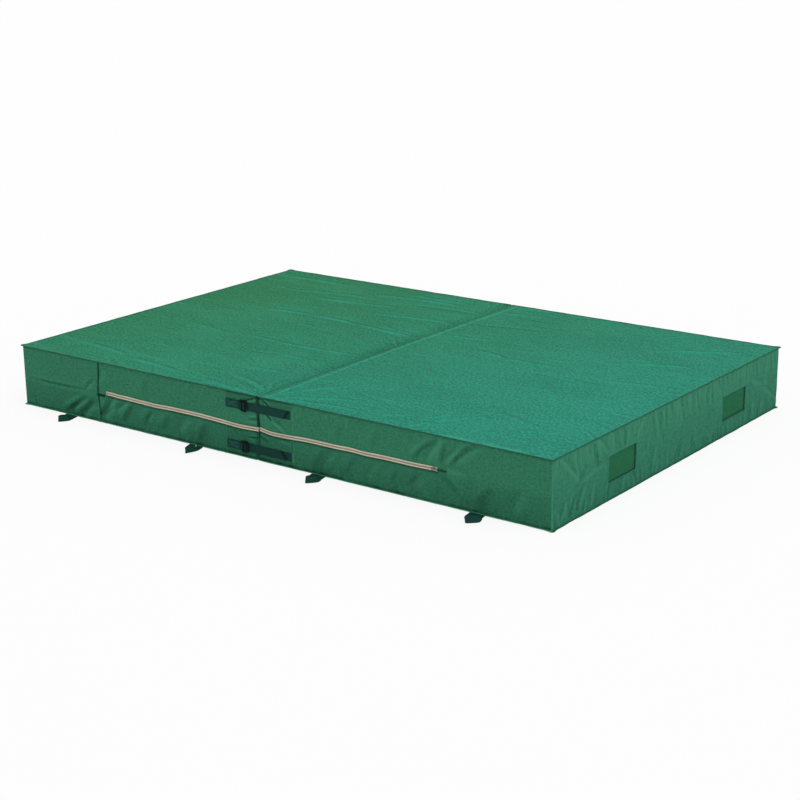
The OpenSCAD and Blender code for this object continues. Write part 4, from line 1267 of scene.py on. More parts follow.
def seam_flange(parts, side, cover, low, high, out, seed, rise):
    """The raw edges of a seam: two cut layers that stand out and wave a little, with ears at the corners.

    rise is how far the ears turn up. Returns the seam's points, as rows of its section."""
    tip, tuck = 0.0055, 0.0012
    x, y, nx, ny = seam_path(side, cover).T
    along = lengths_along(np.stack([x, y], 1))
    wave = noise(along, along * 0, 0.045, seed, 3)
    corner = np.minimum.reduce([np.hypot(x - side * HALF_X, y - sy * HALF_Y) for sy in (-1, 1)])
    ear = bell(corner, 0.020)
    reach = (out * (0.92 + 0.16 * wave) + tip * ear) * eased((side * nx + 0.87) / 0.8)
    reach = np.minimum(reach, out * 1.06 + tip)
    lift = 0.0006 * noise(along, along * 0 + 0.5, 0.06, seed + 1, 3) + rise * ear
    rows = []
    for s, t in SEAM_SECTION:
        far = reach * s if s > 0 else np.full(len(x), -tuck)
        z = (high + low) / 2 + (high - low) / 2 * t + lift * max(s, 0)
        rows.append(np.stack([x + nx * far + sway(x, y, z), y + ny * far, z], 1))
    points = np.stack(rows, 1)
    # The base seam is painted dark where it faces the ends, fading out towards the front: painted shade
    facing = side * nx - 0.7
    end_shade = np.where(facing > 0, -2.6, -2.2 * bell(np.abs(facing), 0.2)) if low < ZIP_Z else 0 * x
    parts.tube(points, wear=np.repeat(end_shade + 0.35 * wave, len(SEAM_SECTION)))
    return points


def lifted(parts, points, faces, height, rim, wear):
    """A sheet of the given faces raised off the surface along its normals, its edges turned down to it."""
    used, faces = np.unique(faces, return_inverse=True)
    faces, own = faces.reshape(-1, 4), points[used]
    normal = np.zeros(own.shape)
    flat = np.cross(own[faces[:, 2]] - own[faces[:, 0]], own[faces[:, 3]] - own[faces[:, 1]])
    for k in range(4):
        np.add.at(normal, faces[:, k], flat)
    normal = unit(normal)
    rims, numbers = open_edges(faces)
    down = {i: len(own) + k for k, i in enumerate(numbers)}
    turned_down = [(b, a, down[a], down[b]) for a, b in rims]
    points = np.concatenate([own + normal * height, own[numbers] - normal[numbers] * rim])
    # The turned-down edges are painted darker: painted shade at the sheet's edge
    parts.take(points, faces.tolist() + turned_down, wear=np.concatenate([wear[used], np.full(len(numbers), -1.0)]))


# ---- Pieces ----

SETTLED = {}
FINISHES = {}


def kept(name, make, *values):
    """A finish by name, made once."""
    if name not in FINISHES:
        FINISHES[name] = make(f"{name}_finish", *values)
    return FINISHES[name]


def wall_threads(x, y, z):
    """The directions of an upright panel's threads."""
    return x + y, z


def wall_material(name, factor, *values):
    """The walls' fabric in a lighter or darker shade."""
    return kept(name, cover_finish, scaled(bpy.context.scene.mat_cover.wall_colour, factor), wall_threads, *values)


def thread_material():
    return kept("thread", thread_finish, tuple(bpy.context.scene.mat_cover.thread_colour))


def webbing_material(name, factor, *values):
    """Webbing in a lighter or darker shade."""
    return kept(name, webbing_finish, scaled(bpy.context.scene.mat_trim.webbing_colour, factor), *values)


def settled(cover):
    """How far the slack fabric moved, worked out once."""
    if "fields" not in SETTLED:
        SETTLED["fields"] = slack_panels(cover.slack)
    return SETTLED["fields"]


def refinish(node, finish):
    """Gives a CAD node its finish, through its object's own slots."""
    for slot in bpy.data.objects[node].material_slots:
        slot.link = "OBJECT"
        slot.material = finish


class MAT_OT_cover(bpy.types.Operator):
    """Build both halves' foam-filled covers: swelling walls with the zip's slot and the vents' windows, and bases"""

    bl_idname = "landing_mat.cover"
    bl_label = "Cover"

    def execute(self, context):
        cover = context.scene.mat_cover
        # A bluer, less red copy of the wall colour for the ends: painted light
        ends = tuple(c * k for c, k in zip(cover.wall_colour, (0.90, 1.0, 1.10)))
        finish = wall_material("wall_fabric", 1, None, 0.5, ends)
        for name, side in HALVES:
            _, _, wear, points, faces = SETTLED[name] = build_walls(side, cover, settled(cover))
            parts = Parts()
            parts.take(points, faces, wear=wear)
            parts.take(*build_base(side, cover))
            nodes = [f"{node}_{name}" for node in ("foam_core", "base_panel", "back_wall", "end_wall", "fold_wall")]
            nodes += ["front_wall_left", "front_wall_end_panel"] if side < 0 else ["front_wall_right"]
            piece = carried(parts.piece(f"cover_{name}", finish), f"{name}_half", "cover_wall", *nodes)
        return {"FINISHED"}


TOP_CREASES = read_off(
    (-993, 231, -711, 259, 140, 24, 2), (-711, 259, -393, 229, 130, 24, 2), (-393, 229, -35, 192, 130, 26, -1),
    (-714, -239, -516, -249, 120, 22, 2), (-516, -249, -215, -242, 120, 26, -2),
    (-215, -242, -63, -223, 110, 22, 0), (370, 158, 554, 115, 120, 22, 2), (554, 115, 835, 124, 120, 20, -2),
    (-341, -662, -141, -645, 100, 18, 2), (-1432, 875, -984, 881, 140, 24, 1),
    (-1193, 626, -724, 721, 140, 24, 2), (-950, 560, -420, 640, 130, 22, -2),
    (-700, 800, -180, 840, 130, 24, 2), (-560, 900, -120, 890, 120, 20, -2), (-500, 450, -60, 520, 120, 22, 2),
    (-400, 720, -50, 740, 120, -22, 2), (30, 965, 298, 993, 120, 20, 2), (58, 831, 340, 873, 120, 22, 2),
    (60, 560, 420, 640, 120, -18, 2), (40, 300, 330, 345, 110, 16, 2), (24, -985, 257, -609, 120, 30, 3),
    (53, -985, 408, -802, 110, 30, 3), (90, -975, 520, -915, 100, 24, 3), (36, -960, 170, -560, 110, -22, 3),
    (-20, -978, -413, -962, 100, 24, -2), (-204, -955, -464, -930, 100, 20, -2),
    (-30, -900, -330, -800, 120, 24, -3), (-900, -860, -560, -905, 120, 22, 2),
    (-1300, -780, -960, -830, 120, 20, 2), (777, -977, 842, -849, 95, 37, 1),
    (842, -849, 907, -763, 95, 35, 1), (907, -763, 981, -679, 95, 28, 1), (607, -908, 740, -816, 95, 22, 1),
    (771, -1011, 837, -904, 95, 32, 1), (837, -904, 904, -857, 95, 22, 1), (776, -855, 858, -720, 95, 25, 1),
    (1189, -772, 1303, -693, 95, 22, 1), (757, -631, 861, -559, 95, 20, 1),
    (791, -1038, 887, -949, 95, -28, 1), (1020, 330, 1330, 470, 140, 22, 3),
    (1080, 640, 1400, 800, 140, 24, 3), (1120, 50, 1420, 110, 130, 18, 3), (960, 820, 1060, 960, 120, 20, 3),
)
# Places along the mat, and how deep the top dips there over the fold, in shares of the fold's valley
DIP = (
    (-0.075, -0.045, -0.022, -0.012, -0.003, 0.016, 0.028, 0.036, 0.05),
    (0, 0.40, 0.60, 0.30, -0.05, -0.05, -0.14, -0.14, 0),
)


def top_folds():
    """The top sheet's folds: those in the photograph, gathers along its edges and the fold, and long faint ones."""
    rng = np.random.default_rng(23)
    lines = TOP_CREASES + both_edges(rng, 1.46, 0.985, 0.075, 0.07, 0.008, 0.0010)
    lines += crossed(both_edges(rng, 0.96, 1.485, 0.055, 0.08, 0.007, 0.0012))
    for side in (1, -1):
        lines += crossed(puckers(rng, -0.93, 0.93, 0.008 * side, side, 0.10, 0.10, 0.007, 0.0010, 0.8))
    for _ in range(90):
        x, y, long = rng.uniform(-1.4, 1.4), rng.uniform(-0.92, 0.92), rng.uniform(0.08, 0.34)
        lean = rng.normal(0, 0.22)
        if x * (x + long) > 0:
            height = rng.uniform(-1, 1) * 0.0012
            lines.append((x, y, x + long, y + lean * long, rng.uniform(0.007, 0.013), height, rng.normal(0, 0.05)))
    return lines


def top_height(x, y, cover, field):
    """Height of the top sheet at places (x, y), at most the frame's top, and its painted highlight and shade."""
    cap = 0.0034
    lines = top_folds()
    marks = creases(x, y, lines)
    ripples = 0.0013 * noise(x / 3.2 + 0.3 * y, y - 0.10 * x, 0.034, 31, 3) + 0.0016 * noise(x / 2.0, y, 0.16, 37, 2)
    rough = np.tanh((0.9 * spread(field, x, y) + ripples) / 0.003) * 0.0018 + 1.9 * marks
    rim = np.minimum(HALF_X - np.abs(x), HALF_Y - np.abs(y))
    edge = 1 - np.sqrt(1 - (1 - np.clip(rim / cover.crown_reach, 0, 1)) ** 2)
    rough = cap * np.tanh(rough * eased(rim / 0.018 + 0.12) / cap) - cap
    z = (TOP_Z + rough) * (1 - edge) + edge * TOP_SEAM_Z
    # The left half's edge dips and rises to the fold, and the right half's edge is a low ridge
    vary = 1 + 0.25 * noise(y, x * 0, 0.16, 43, 2)
    z = z - cover.valley * np.interp(x, *DIP) * vary * (1 - 0.6 * edge)
    # Folds and ripples are painted paler on ridges and on the side that faces the front, and darker in valleys and
    # behind: painted highlight and painted shade
    slope = creases(x, y + 0.008, lines) - creases(x, y - 0.008, lines)
    wear = 0.45 * np.tanh(marks / 0.0016) + np.tanh(slope / 0.0014) * np.where(slope > 0, 0.9, 1.45)
    wear += 0.25 * np.tanh(ripples / 0.0012)
    # The fold's line is painted pale, with a darker band on its left, and the sheet's rim is painted dark: painted
    # highlight and painted shade
    line_x = 0.034 + 0.006 * np.cos(3.2 * (y + 0.9))
    wear += 1.9 * bell(x - line_x, 0.0060) - 0.9 * vary * bell(x - line_x + 0.045, 0.036) - 0.8 * bell(rim, 0.004)
    # Painted highlight along the front edge, near its right end
    brightened = np.interp(x, (0.93, 1.00, 1.40, 1.47), (0, 1, 1, 0)) * (0.7 + 1.1 * noise(x, y, 0.045, 47, 2))
    wear += 2.6 * np.clip(brightened, 0, 2) * bell(y + HALF_Y - 0.016, 0.011)
    return np.minimum(z, TOP_Z), wear


class MAT_OT_top_sheet(bpy.types.Operator):
    """Build the coated top sheet, one piece over both halves with a crease along the fold"""

    bl_idname = "landing_mat.top_sheet"
    bl_label = "Top sheet"

    def execute(self, context):
        cover = context.scene.mat_cover
        rim, step = 0.036, 0.009
        xs = [spaced(0.0, 0.06, step / 3), spaced(0.06, HALF_X - rim, step)[1:]]
        ys = [spaced(0.0, HALF_Y - rim, step)]
        whole = []
        for half, end in ((xs, HALF_X), (ys, HALF_Y)):
            half = np.concatenate([*half, spaced(end - rim, end, step / 2)[1:]])
            whole.append(np.concatenate([-half[:0:-1], half]))
        x, y = np.meshgrid(*whole, indexing="ij")
        z, wear = top_height(x, y, cover, settled(cover)["top"])
        points = np.stack([*rounded(x, y, cover.corner), z], 2)
        colours = (tuple(cover.top_colour), lambda x, y, z: (x, y), tuple(cover.shaded_corner_colour), 2.3)
        finish = kept("top_fabric", cover_finish, *colours)
        piece = make_piece("top_sheet", points, grid_faces(*x.shape)[:, ::-1], finish, wear=wear)
        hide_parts("top_panel_left", "top_panel_right")
        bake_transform(piece)
        return {"FINISHED"}


# The sections of the panel seam and of the zip's closed tab over the wall: (across, out)
WELT_SECTION = np.array([(-0.0016, -0.0006), (-0.0012, 0.0006), (0.0, 0.0010), (0.0012, 0.0006), (0.0016, -0.0006)])
TAB_SECTION = np.array([(-0.0062, -0.0004), (-0.0052, 0.0009), (0.0, 0.0014), (0.0052, 0.0009), (0.0062, -0.0004)])


class MAT_OT_seams(bpy.types.Operator):
    """Build the top and base seams of both halves with their stitches, and the seam between the front panels"""

    bl_idname = "landing_mat.seams"
    bl_label = "Seams"

    def execute(self, context):
        cover = context.scene.mat_cover
        for name, side in HALVES:
            path = seam_path(side, cover)
            proud = np.stack([path[:, 2], path[:, 3], path[:, 2] * 0], 1) * 0.0006
            stitches = Parts()
            # up is the side of the seam that its stitches show on
            # The top seam is a darker copy of the wall fabric, painted shade under the top edge, and the base seam a
            # lighter copy, a painted highlight on its upper face
            for kind, low, high, out, seed, rise, shade, up in (
                ("top", TOP_SEAM_LOW, TOP_SEAM_HIGH, TOP_SEAM_OUT, 51, 0.0018, 0.62, -1),
                ("base", BASE_SEAM_LOW, BASE_SEAM_HIGH, BASE_SEAM_OUT, 61, -0.0012, 1.75, 1),
            ):
                parts = Parts()
                rows = seam_flange(parts, side, cover, low, high, out, seed + side, rise)
                piece = parts.piece(f"{kind}_seam_{name}", wall_material(f"{kind}_seam", shade))
                carried(piece, f"{name}_half", "cover_wall", f"{kind}_flange_{name}")
                inner, outer = (0, 1) if up < 0 else (9, 7)
                stitch_row(stitches, (rows[:, inner] + rows[:, outer]) / 2 + proud, (0, 0, up))
            carried(stitches.piece(f"seam_stitches_{name}", thread_material()), f"{name}_half", "cover_wall")
        wall = bpy.data.objects["cover_left"]
        tree = tree_of(wall)
        self.panel_seam(wall, tree)
        self.tack(wall, tree)
        return {"FINISHED"}

    def panel_seam(self, wall, tree):
        """The seam between the two front panels of the left half, with the stitches beside it."""
        spot = placed("panel_seam", wall)
        shift = spot.x - float(panel_seam_x(spot.z))
        levels = spaced(BASE_SEAM_Z + 0.002, TOP_SEAM_Z - 0.002, 0.006)
        welt, stitches = Parts(), Parts()
        seam, beside = (
            traced(tree, [(float(panel_seam_x(z)) + shift + offset, z) for z in levels], (0, -1, 0))
            for offset in (-0.0022, 0.0052)
        )
        sweep(welt, seam, (1, 0, 0), (0, -1, 0), WELT_SECTION)
        stitch_row(stitches, beside, (0, -1, 0))
        # The welt is a dark copy of the wall fabric: painted shade along the seam
        piece = carried(welt.piece("panel_seam", wall_material("panel_seam", 0.25)), "left_half", "cover_wall")
        SHOWN["panel_seam"] = piece_points(piece)
        carried(stitches.piece("panel_seam_stitches", thread_material()), "left_half", "cover_wall")

    def tack(self, wall, tree):
        """The dark stitched tab that closes the zip's slot, between its end and the seam of the front panels."""
        spot = placed("zip_tack", wall)
        tab, stitches = Parts(), Parts()
        xs = spaced(spot.x - 0.025, spot.x + 0.025, 0.003)
        track = traced(tree, [(x, spot.z) for x in xs], (0, -1, 0)) - (0, 0.0006, 0)
        track[:, 2] += 0.0012 * np.sin(np.linspace(0, 2.4, len(xs)))
        sweep(tab, track, (0, 0, 1), (0, -1, 0), TAB_SECTION)
        for up in (-0.0036, 0.0036):
            stitch_row(stitches, track + (0, -0.0012, up), (0, -1, 0))
        finish = webbing_material("zip_tack", 0.35, "object", 0.002)
        SHOWN["zip_tack"] = piece_points(carried(tab.piece("zip_tack", finish), "left_half", "cover_wall"))
        carried(stitches.piece("zip_tack_stitches", thread_material()), "left_half", "cover_wall")


# The straps' route past the lock, as in the frame, in metres from the fold and out of the patch
WEB_W, STRAP_T = 0.038, 0.0015
LOCK_X, LOCK_OUT, LOCK_BAR_R = 0.092, 0.00445, 0.00355
STRAP_OUT, TAIL_OUT, CURL_OUT = 0.00105, 0.00285, 0.007569
ANCHOR_END, ANCHOR_SPLIT, STRAP_END = -0.185, -0.1049, 0.185
# The arcs that a closing strap follows up beside the lock's middle bar, over it and down: x, out and radius
RISE = (0.01325 - LOCK_X, STRAP_OUT + 0.0025, 0.0025)
CURL = (0.01475 - LOCK_X, CURL_OUT, 0.004)
FALL = (0.02035 - LOCK_X, TAIL_OUT + 0.0016, 0.0016)
# Where each closing strap's tail ends and which way its cut leans, and by how much both do
TAILS = {"high": (0.162, 1), "low": (0.144, -1)}
TAIL_CUT = 0.029
# Rows of stitches: how far they lie in from a patch's edge, and out from the rim of a vent and of the zip's slot
PATCH_ROWS = (0.004, 0.011)
VENT_ROWS = (0.0035, 0.0105)
SLOT_ROW = 0.0035


class MAT_OT_patches(bpy.types.Operator):
    """Build the reinforcing patches over the fold, stitched round their edges"""

    bl_idname = "landing_mat.patches"
    bl_label = "Patches"

    def execute(self, context):
        for name, side in HALVES:
            ring, zs, wear, points, faces = SETTLED[name]
            reach, inset, strap_mark = PATCH_REACH[side], PATCH_ROWS[0], 0.1915
            across = np.abs(points[:, 0])
            off_strap = np.abs(points[:, 2:] - list(STRAP_Z.values())).min(axis=1)
            # Painted highlight along the patch's edge and in a line just past the straps' ends, and painted shadow
            # under the locks
            shaded_and_worn = wear + np.where(reach - across < 0.0075, 1.0, -0.15)
            if side < 0:
                shaded_and_worn = shaded_and_worn - 3.0 * ((np.abs(points[:, 0] + LOCK_X) < 0.016) & (off_strap < 0.021))
            shaded_and_worn = shaded_and_worn + 1.9 * (off_strap < 0.024) * bell(strap_mark - across, 0.003)
            wall = faces[(faces < len(zs) * len(ring)).all(axis=1)]
            column, z = wall % len(ring), points[wall][:, :, 2]
            inside = np.abs(ring[column, 0]).max(axis=1) <= reach + 1e-6
            inside &= (z.min(axis=1) > PATCH_LOW - 0.001) & (z.max(axis=1) < PATCH_HIGH + 0.001)
            for face_name, face in FACES:
                facing = (face * ring[column, 3] > 0.30).all(axis=1)
                parts, stitches = Parts(), Parts()
                lifted(parts, points, wall[inside & facing], PATCH_T, 0.0004, shaded_and_worn)
                piece = parts.piece(f"patch_{face_name}_{name}", wall_material("patch_fabric", 0.97))
                spans, levels = [(PATCH_LOW, PATCH_HIGH)], [PATCH_LOW + inset, PATCH_HIGH - inset]
                if face < 0:
                    spot = placed(f"patch_seam_{name}", piece)
                    SHOWN[f"patch_seam_{name}"] = np.array([(side * reach, spot.y, spot.z)])
                    spans = [(PATCH_LOW, SLOT_LOW), (SLOT_HIGH, PATCH_HIGH)]
                    levels += [SLOT_LOW - SLOT_ROW, SLOT_HIGH + SLOT_ROW]
                carried(piece, f"{name}_half", "cover_wall", f"{face_name}_patch_{name}")
                tracks = [
                    [(side * (reach - gap), z) for z in spaced(low + inset, high - inset, 0.01)]
                    for low, high in spans for gap in PATCH_ROWS
                ]
                tracks += [[(side * x, z) for x in spaced(0.012, reach - inset, 0.01)] for z in levels]
                surface = tree_of(piece)
                for track in tracks:
                    hits = traced(surface, track, (0, face, 0))
                    if len(hits) > 2:
                        stitch_row(stitches, hits, (0, face, 0))
                piece = stitches.piece(f"patch_stitches_{face_name}_{name}", thread_material())
                carried(piece, f"{name}_half", "cover_wall")
        return {"FINISHED"}


class MAT_OT_vents(bpy.types.Operator):
    """Build the vents' mesh panels and the stitching round their windows"""

    bl_idname = "landing_mat.vents"
    bl_label = "Vents"

    def execute(self, context):
        finish = kept("vent_mesh", mesh_finish, tuple(context.scene.mat_cover.mesh_colour))
        step = 0.006
        for name, side in HALVES:
            wall = tree_of(bpy.data.objects[f"cover_{name}"])
            stitches = Parts()
            for end, window in zip(("front", "back"), VENTS):
                low, high, under, over = window
                ys, zs = (spaced(a - step, b + step, step) for a, b in ((low, high), (under, over)))
                y, z = np.meshgrid(ys, zs, indexing="ij")
                edge, sunk = -outside_vent(y, z, *window), 0.0034
                swell = 0.0042 * eased(edge / 0.05) + 0.0009 * noise(y, z, 0.04, 71, 3) * eased(edge / 0.02)
                x = side * (self.rim(wall, side, y, z, *window) - sunk + swell)
                faces = grid_faces(*y.shape)[:, ::side]
                piece = make_piece(f"vent_panel_{name}_{end}", np.stack([x, y, z], 2), faces, finish)
                carried(piece, f"{name}_half", "vent_mesh", f"vent_mesh_{name}_{end}")
                if side > 0:
                    SHOWN["vent_near" if end == "front" else "vent_far"] = piece_points(piece)
                for gap in VENT_ROWS:
                    left, right, foot, head = low - gap, high + gap, under - gap, over + gap
                    corners = [(left, foot), (right, foot), (right, head), (left, head), (left, foot)]
                    for pair in zip(corners, corners[1:]):
                        hits = traced(wall, evenly(pair, 0.01), (side, 0, 0))
                        stitch_row(stitches, hits, (side, 0, 0))
            carried(stitches.piece(f"vent_stitches_{name}", thread_material()), f"{name}_half", "cover_wall")
        return {"FINISHED"}

    def rim(self, wall, side, y, z, low, high, under, over):
        """How far out the window's edge is, blended over the window from its four sides."""
        beside = 0.002
        left, right, bottom, top = (
            side * traced(wall, track, (side, 0, 0))[:, 0]
            for track in (
                [(low - beside, p) for p in z[0]], [(high + beside, p) for p in z[0]],
                [(p, under - beside) for p in y[:, 0]], [(p, over + beside) for p in y[:, 0]],
            )
        )
        t, s = np.clip((y - low) / (high - low), 0, 1), np.clip((z - under) / (over - under), 0, 1)
        across = left * (1 - t) + right * t
        up = bottom[:, None] * (1 - s) + top[:, None] * s
        return np.minimum((across + up) / 2, np.minimum(across, up) + 0.0006)


# The zip's two tapes across the slot, in tenths of a millimetre: up from its middle, and out of the wall
TAPE_UP = (-180, -105, -80, -55, -24, -4, 4, 24, 55, 80, 105, 180)
TAPE_OUT = (-30, -20, -13, -10, -8, -16, -16, -8, -10, -13, -20, -30)
COIL_PITCH = 0.0021


class MAT_OT_zip(bpy.types.Operator):
    """Build the zip's tapes and coil, and finish its stops, slider and pull"""

    bl_idname = "landing_mat.zip"
    bl_label = "Zip"

    def execute(self, context):
        trim, cover = context.scene.mat_trim, context.scene.mat_cover
        tape = kept("zip_tape", tape_finish, tuple(trim.tape_colour), tuple(trim.coil_colour))
        coil = kept("zip_coil", coil_finish, tuple(trim.coil_colour))
        metal = kept("zip_metal", metal_finish, tuple(trim.metal_colour))
        for name, side in HALVES:
            reach = SLOT_REACH[side]
            x, z = np.meshgrid(side * spaced(0.0015, reach + 0.006, 0.006), np.array(TAPE_UP) / 10000, indexing="ij")
            out = np.array(TAPE_OUT) / 10000 + 0.0004 * noise(x, z, 0.05, 83, 2)
            points = on_face(-1, x, out, ZIP_Z + z + zip_wave(x))
            points[..., 0] += sway(points[..., 0], points[..., 1], points[..., 2])
            # The tape is painted dark near the slot's rims and at the fold: painted shade
            wear = np.where(np.abs(z) > 0.0095, -1.5, 0) - 2.6 * (np.abs(x) < 0.0035)
            faces, ribbon = grid_faces(*x.shape)[:, ::side], np.stack([x, z], 2)
            piece = make_piece(f"zip_band_{name}", points, faces, tape, ribbon=ribbon, wear=wear)
            carried(piece, f"{name}_half", "zip_tape", f"zip_tape_{name}")
            parts = Parts()
            for k, place in enumerate(np.arange(0.0025, reach - SLOT_PAST_STOP - 0.006, COIL_PITCH) * side):
                self.link(parts, place, ZIP_Z + zip_wave(place), 1 if k % 2 else -1)
            carried(parts.piece(f"zip_links_{name}", coil), f"{name}_half", "zip_coil", f"zip_coil_{name}")
            refinish(f"zip_stop_{name}", metal)
        SHOWN["zip_left_end"] = piece_points(bpy.data.objects["zip_stop_left"])
        SHOWN["zip_right_end"] = piece_points(bpy.data.objects["zip_slider"])
        for node in ("zip_slider", "zip_pull"):
            refinish(node, metal)
        refinish("zip_pull_tab", kept("pull_fabric", webbing_finish, scaled(cover.wall_colour, 0.22), "object", 0.002))
        return {"FINISHED"}

    def link(self, parts, x, z, up):
        """One turn of the coil: a rounded bar that leans across the line, a little above it (up is 1) or below."""
        w, h, bulk, lean, sink = 0.00078, 0.0017, 0.0009, -0.0004 * up, 0.0002
        section = [(-w, 0.0), (-w * 0.7, bulk), (w * 0.7, bulk), (w, 0.0), (w * 0.7, -bulk), (-w * 0.7, -bulk)]
        z = z + 0.0006 * up
        rows = [
            (x + lean * t + a * size, -(HALF_Y - sink + b * size), z + h * t)
            for t, size in ((-1.0, 0.45), (-0.8, 0.9), (0.8, 0.9), (1.0, 0.45))
            for a, b in section
        ]
        parts.take(rows, tube_faces(4, len(section)))


def box_lines(x0, x1):
    """The four sides of a sewn box on a strap, and its diagonals, as (x, up from the strap's middle)."""
    half = WEB_W / 2 - 0.004
    a, b, c, d = (x0, -half), (x1, -half), (x1, half), (x0, half)
    return [(a, b), (b, c), (c, d), (d, a)], [(a, c), (d, b)]


class MAT_OT_straps(bpy.types.Operator):
    """Build the short straps that hold the locks and the long ones that cross the fold and pass through them"""

    bl_idname = "landing_mat.straps"
    bl_label = "Straps"

    def execute(self, context):
        for face_name, face in FACES:
            for level, z in STRAP_Z.items():
                self.anchor(f"{face_name}_{level}", face, z)
                self.closing(f"{face_name}_{level}", face, z, *TAILS[level])
        return {"FINISHED"}

    def strap(self, kind, where, body, shade, face, z, lines, out, path, *band):
        """A strap and its stitches, which follow the lines on a layer of webbing that lies out of the patch."""
        parts, stitches = Parts(), Parts()
        wall_band(parts, face, path + (0, PATCH_T), z, WEB_W, STRAP_T, *band)
        piece = parts.piece(f"{kind}_{where}", webbing_material(f"{kind}_webbing", shade))
        carried(piece, body, "webbing", f"{kind}_strap_{where}")
        for line in lines:
            x, up = evenly(line).T
            stitch_row(stitches, on_face(face, x, PATCH_T + out, z + up), (0, face, 0))
        thread = kept("webbing_thread", thread_finish, scaled(bpy.context.scene.mat_trim.webbing_colour, 1.9))
        carried(stitches.piece(f"{kind}_stitches_{where}", thread), body, "webbing")

    def anchor(self, where, face, z):
        """A short strap, folded round the lock's bar and sewn down with a crossed box."""
        under, over = STRAP_T / 2, STRAP_T * 1.5
        path = np.concatenate([
            evenly([(ANCHOR_END, under), (ANCHOR_SPLIT, under)]),
            turned((-LOCK_X, LOCK_OUT), LOCK_BAR_R, -97, 112, 16),
            evenly([(ANCHOR_SPLIT, over), (ANCHOR_END, over)]),
        ])
        sides, cross = box_lines(ANCHOR_END + 0.005, ANCHOR_SPLIT - 0.018)
        bars = [[(ANCHOR_SPLIT - gap, up) for up in (-0.015, 0.015)] for gap in (0.008, 0.012)]
        lines = sides + cross + bars
        self.strap("anchor", where, "left_half", 1.08, face, z, lines, 2 * STRAP_T, path, 15, 0.0001, self.sewn)

    def closing(self, where, face, z, tail, lean):
        """A long strap from the right half, through the lock and back to a slanting cut tail."""
        fall = turned(FALL[:2], FALL[2], 180, 270, 8)
        path = np.concatenate([
            evenly([(STRAP_END, STRAP_OUT), (RISE[0] + 0.002, STRAP_OUT)]),
            turned(RISE[:2], RISE[2], -90, -180, 8),
            turned(CURL[:2], CURL[2], 180, 0, 14),
            fall,
            evenly([(fall[-1][0], TAIL_OUT), (tail, TAIL_OUT)])[1:],
        ])

        def cut(x, across):
            """Slants the end of the tail, over its last rows of points."""
            last = np.arange(len(path))[:, None] > len(path) - 16
            return np.where(last, np.clip((x - (tail - 0.05)) / 0.05, 0, 1) * lean * across * TAIL_CUT, 0.0)

        def tail_shading(x, across, share):
            """Painted shadow at the tail's cut edge and under it and painted shade in the lock, dark at the selvedges
            and pale at the hem.
            """
            edge = tail + lean * across * TAIL_CUT
            dark = np.where(share > 0.5, -3.2 * bell(edge - x, 0.007), 0)
            hem = np.where(share < 0.5, bell(STRAP_END - 0.003 - x, 0.003), 0)
            under = np.where(share < 0.5, -1.8 * bell(edge + 0.006 - x, 0.006), 0)
            shade = 2.4 * (np.abs(x + LOCK_X) < 0.017) + (0.25 if lean > 0 else 0.9)
            return dark + hem + under - shade - 0.9 * eased((np.abs(across) - 0.38) / 0.1)

        sides, _ = box_lines(STRAP_END - 0.012, STRAP_END - 0.004)
        band = (path, 13, 0.00015, tail_shading, cut)
        self.strap("closing", where, "right_half", 0.94, face, z, sides, STRAP_OUT + STRAP_T / 2, *band)

    def sewn(self, x, across, _):
        """Painted shading and wear of a short strap: dark selvedges, a paler cross where the thread pulls it in,
        painted shade in the lock and a dark line at its end.
        """
        across = np.abs(across)
        middle = (ANCHOR_END + 0.006 + ANCHOR_SPLIT - 0.018) / 2
        t = np.abs(x - middle) / ((ANCHOR_SPLIT - 0.024 - ANCHOR_END) / 2)
        pale = np.where((t < 1.0) & (across < 0.41), bell((t - across / 0.40) * 0.5, 0.09), 0)
        box = np.where(across < 0.43, 0.8 * bell(t - 1.0, 0.06), 0)
        dark = 2.2 * (np.abs(x + LOCK_X) < 0.017) + 2.4 * eased((across - 0.36) / 0.1)
        return pale + box - dark - 2.0 * bell(x - ANCHOR_END, 0.003)


class MAT_OT_locks(bpy.types.Operator):
    """Finish the four ladder locks as dark moulded plastic"""

    bl_idname = "landing_mat.locks"
    bl_label = "Ladder locks"

    def execute(self, context):
        finish = kept("lock_plastic", moulded_finish, tuple(context.scene.mat_trim.lock_colour))
        for level in STRAP_Z:
            for face_name, _ in FACES:
                refinish(f"ladder_lock_{face_name}_{level}", finish)
            SHOWN[f"lock_{level}"] = piece_points(bpy.data.objects[f"ladder_lock_front_{level}"])
        return {"FINISHED"}


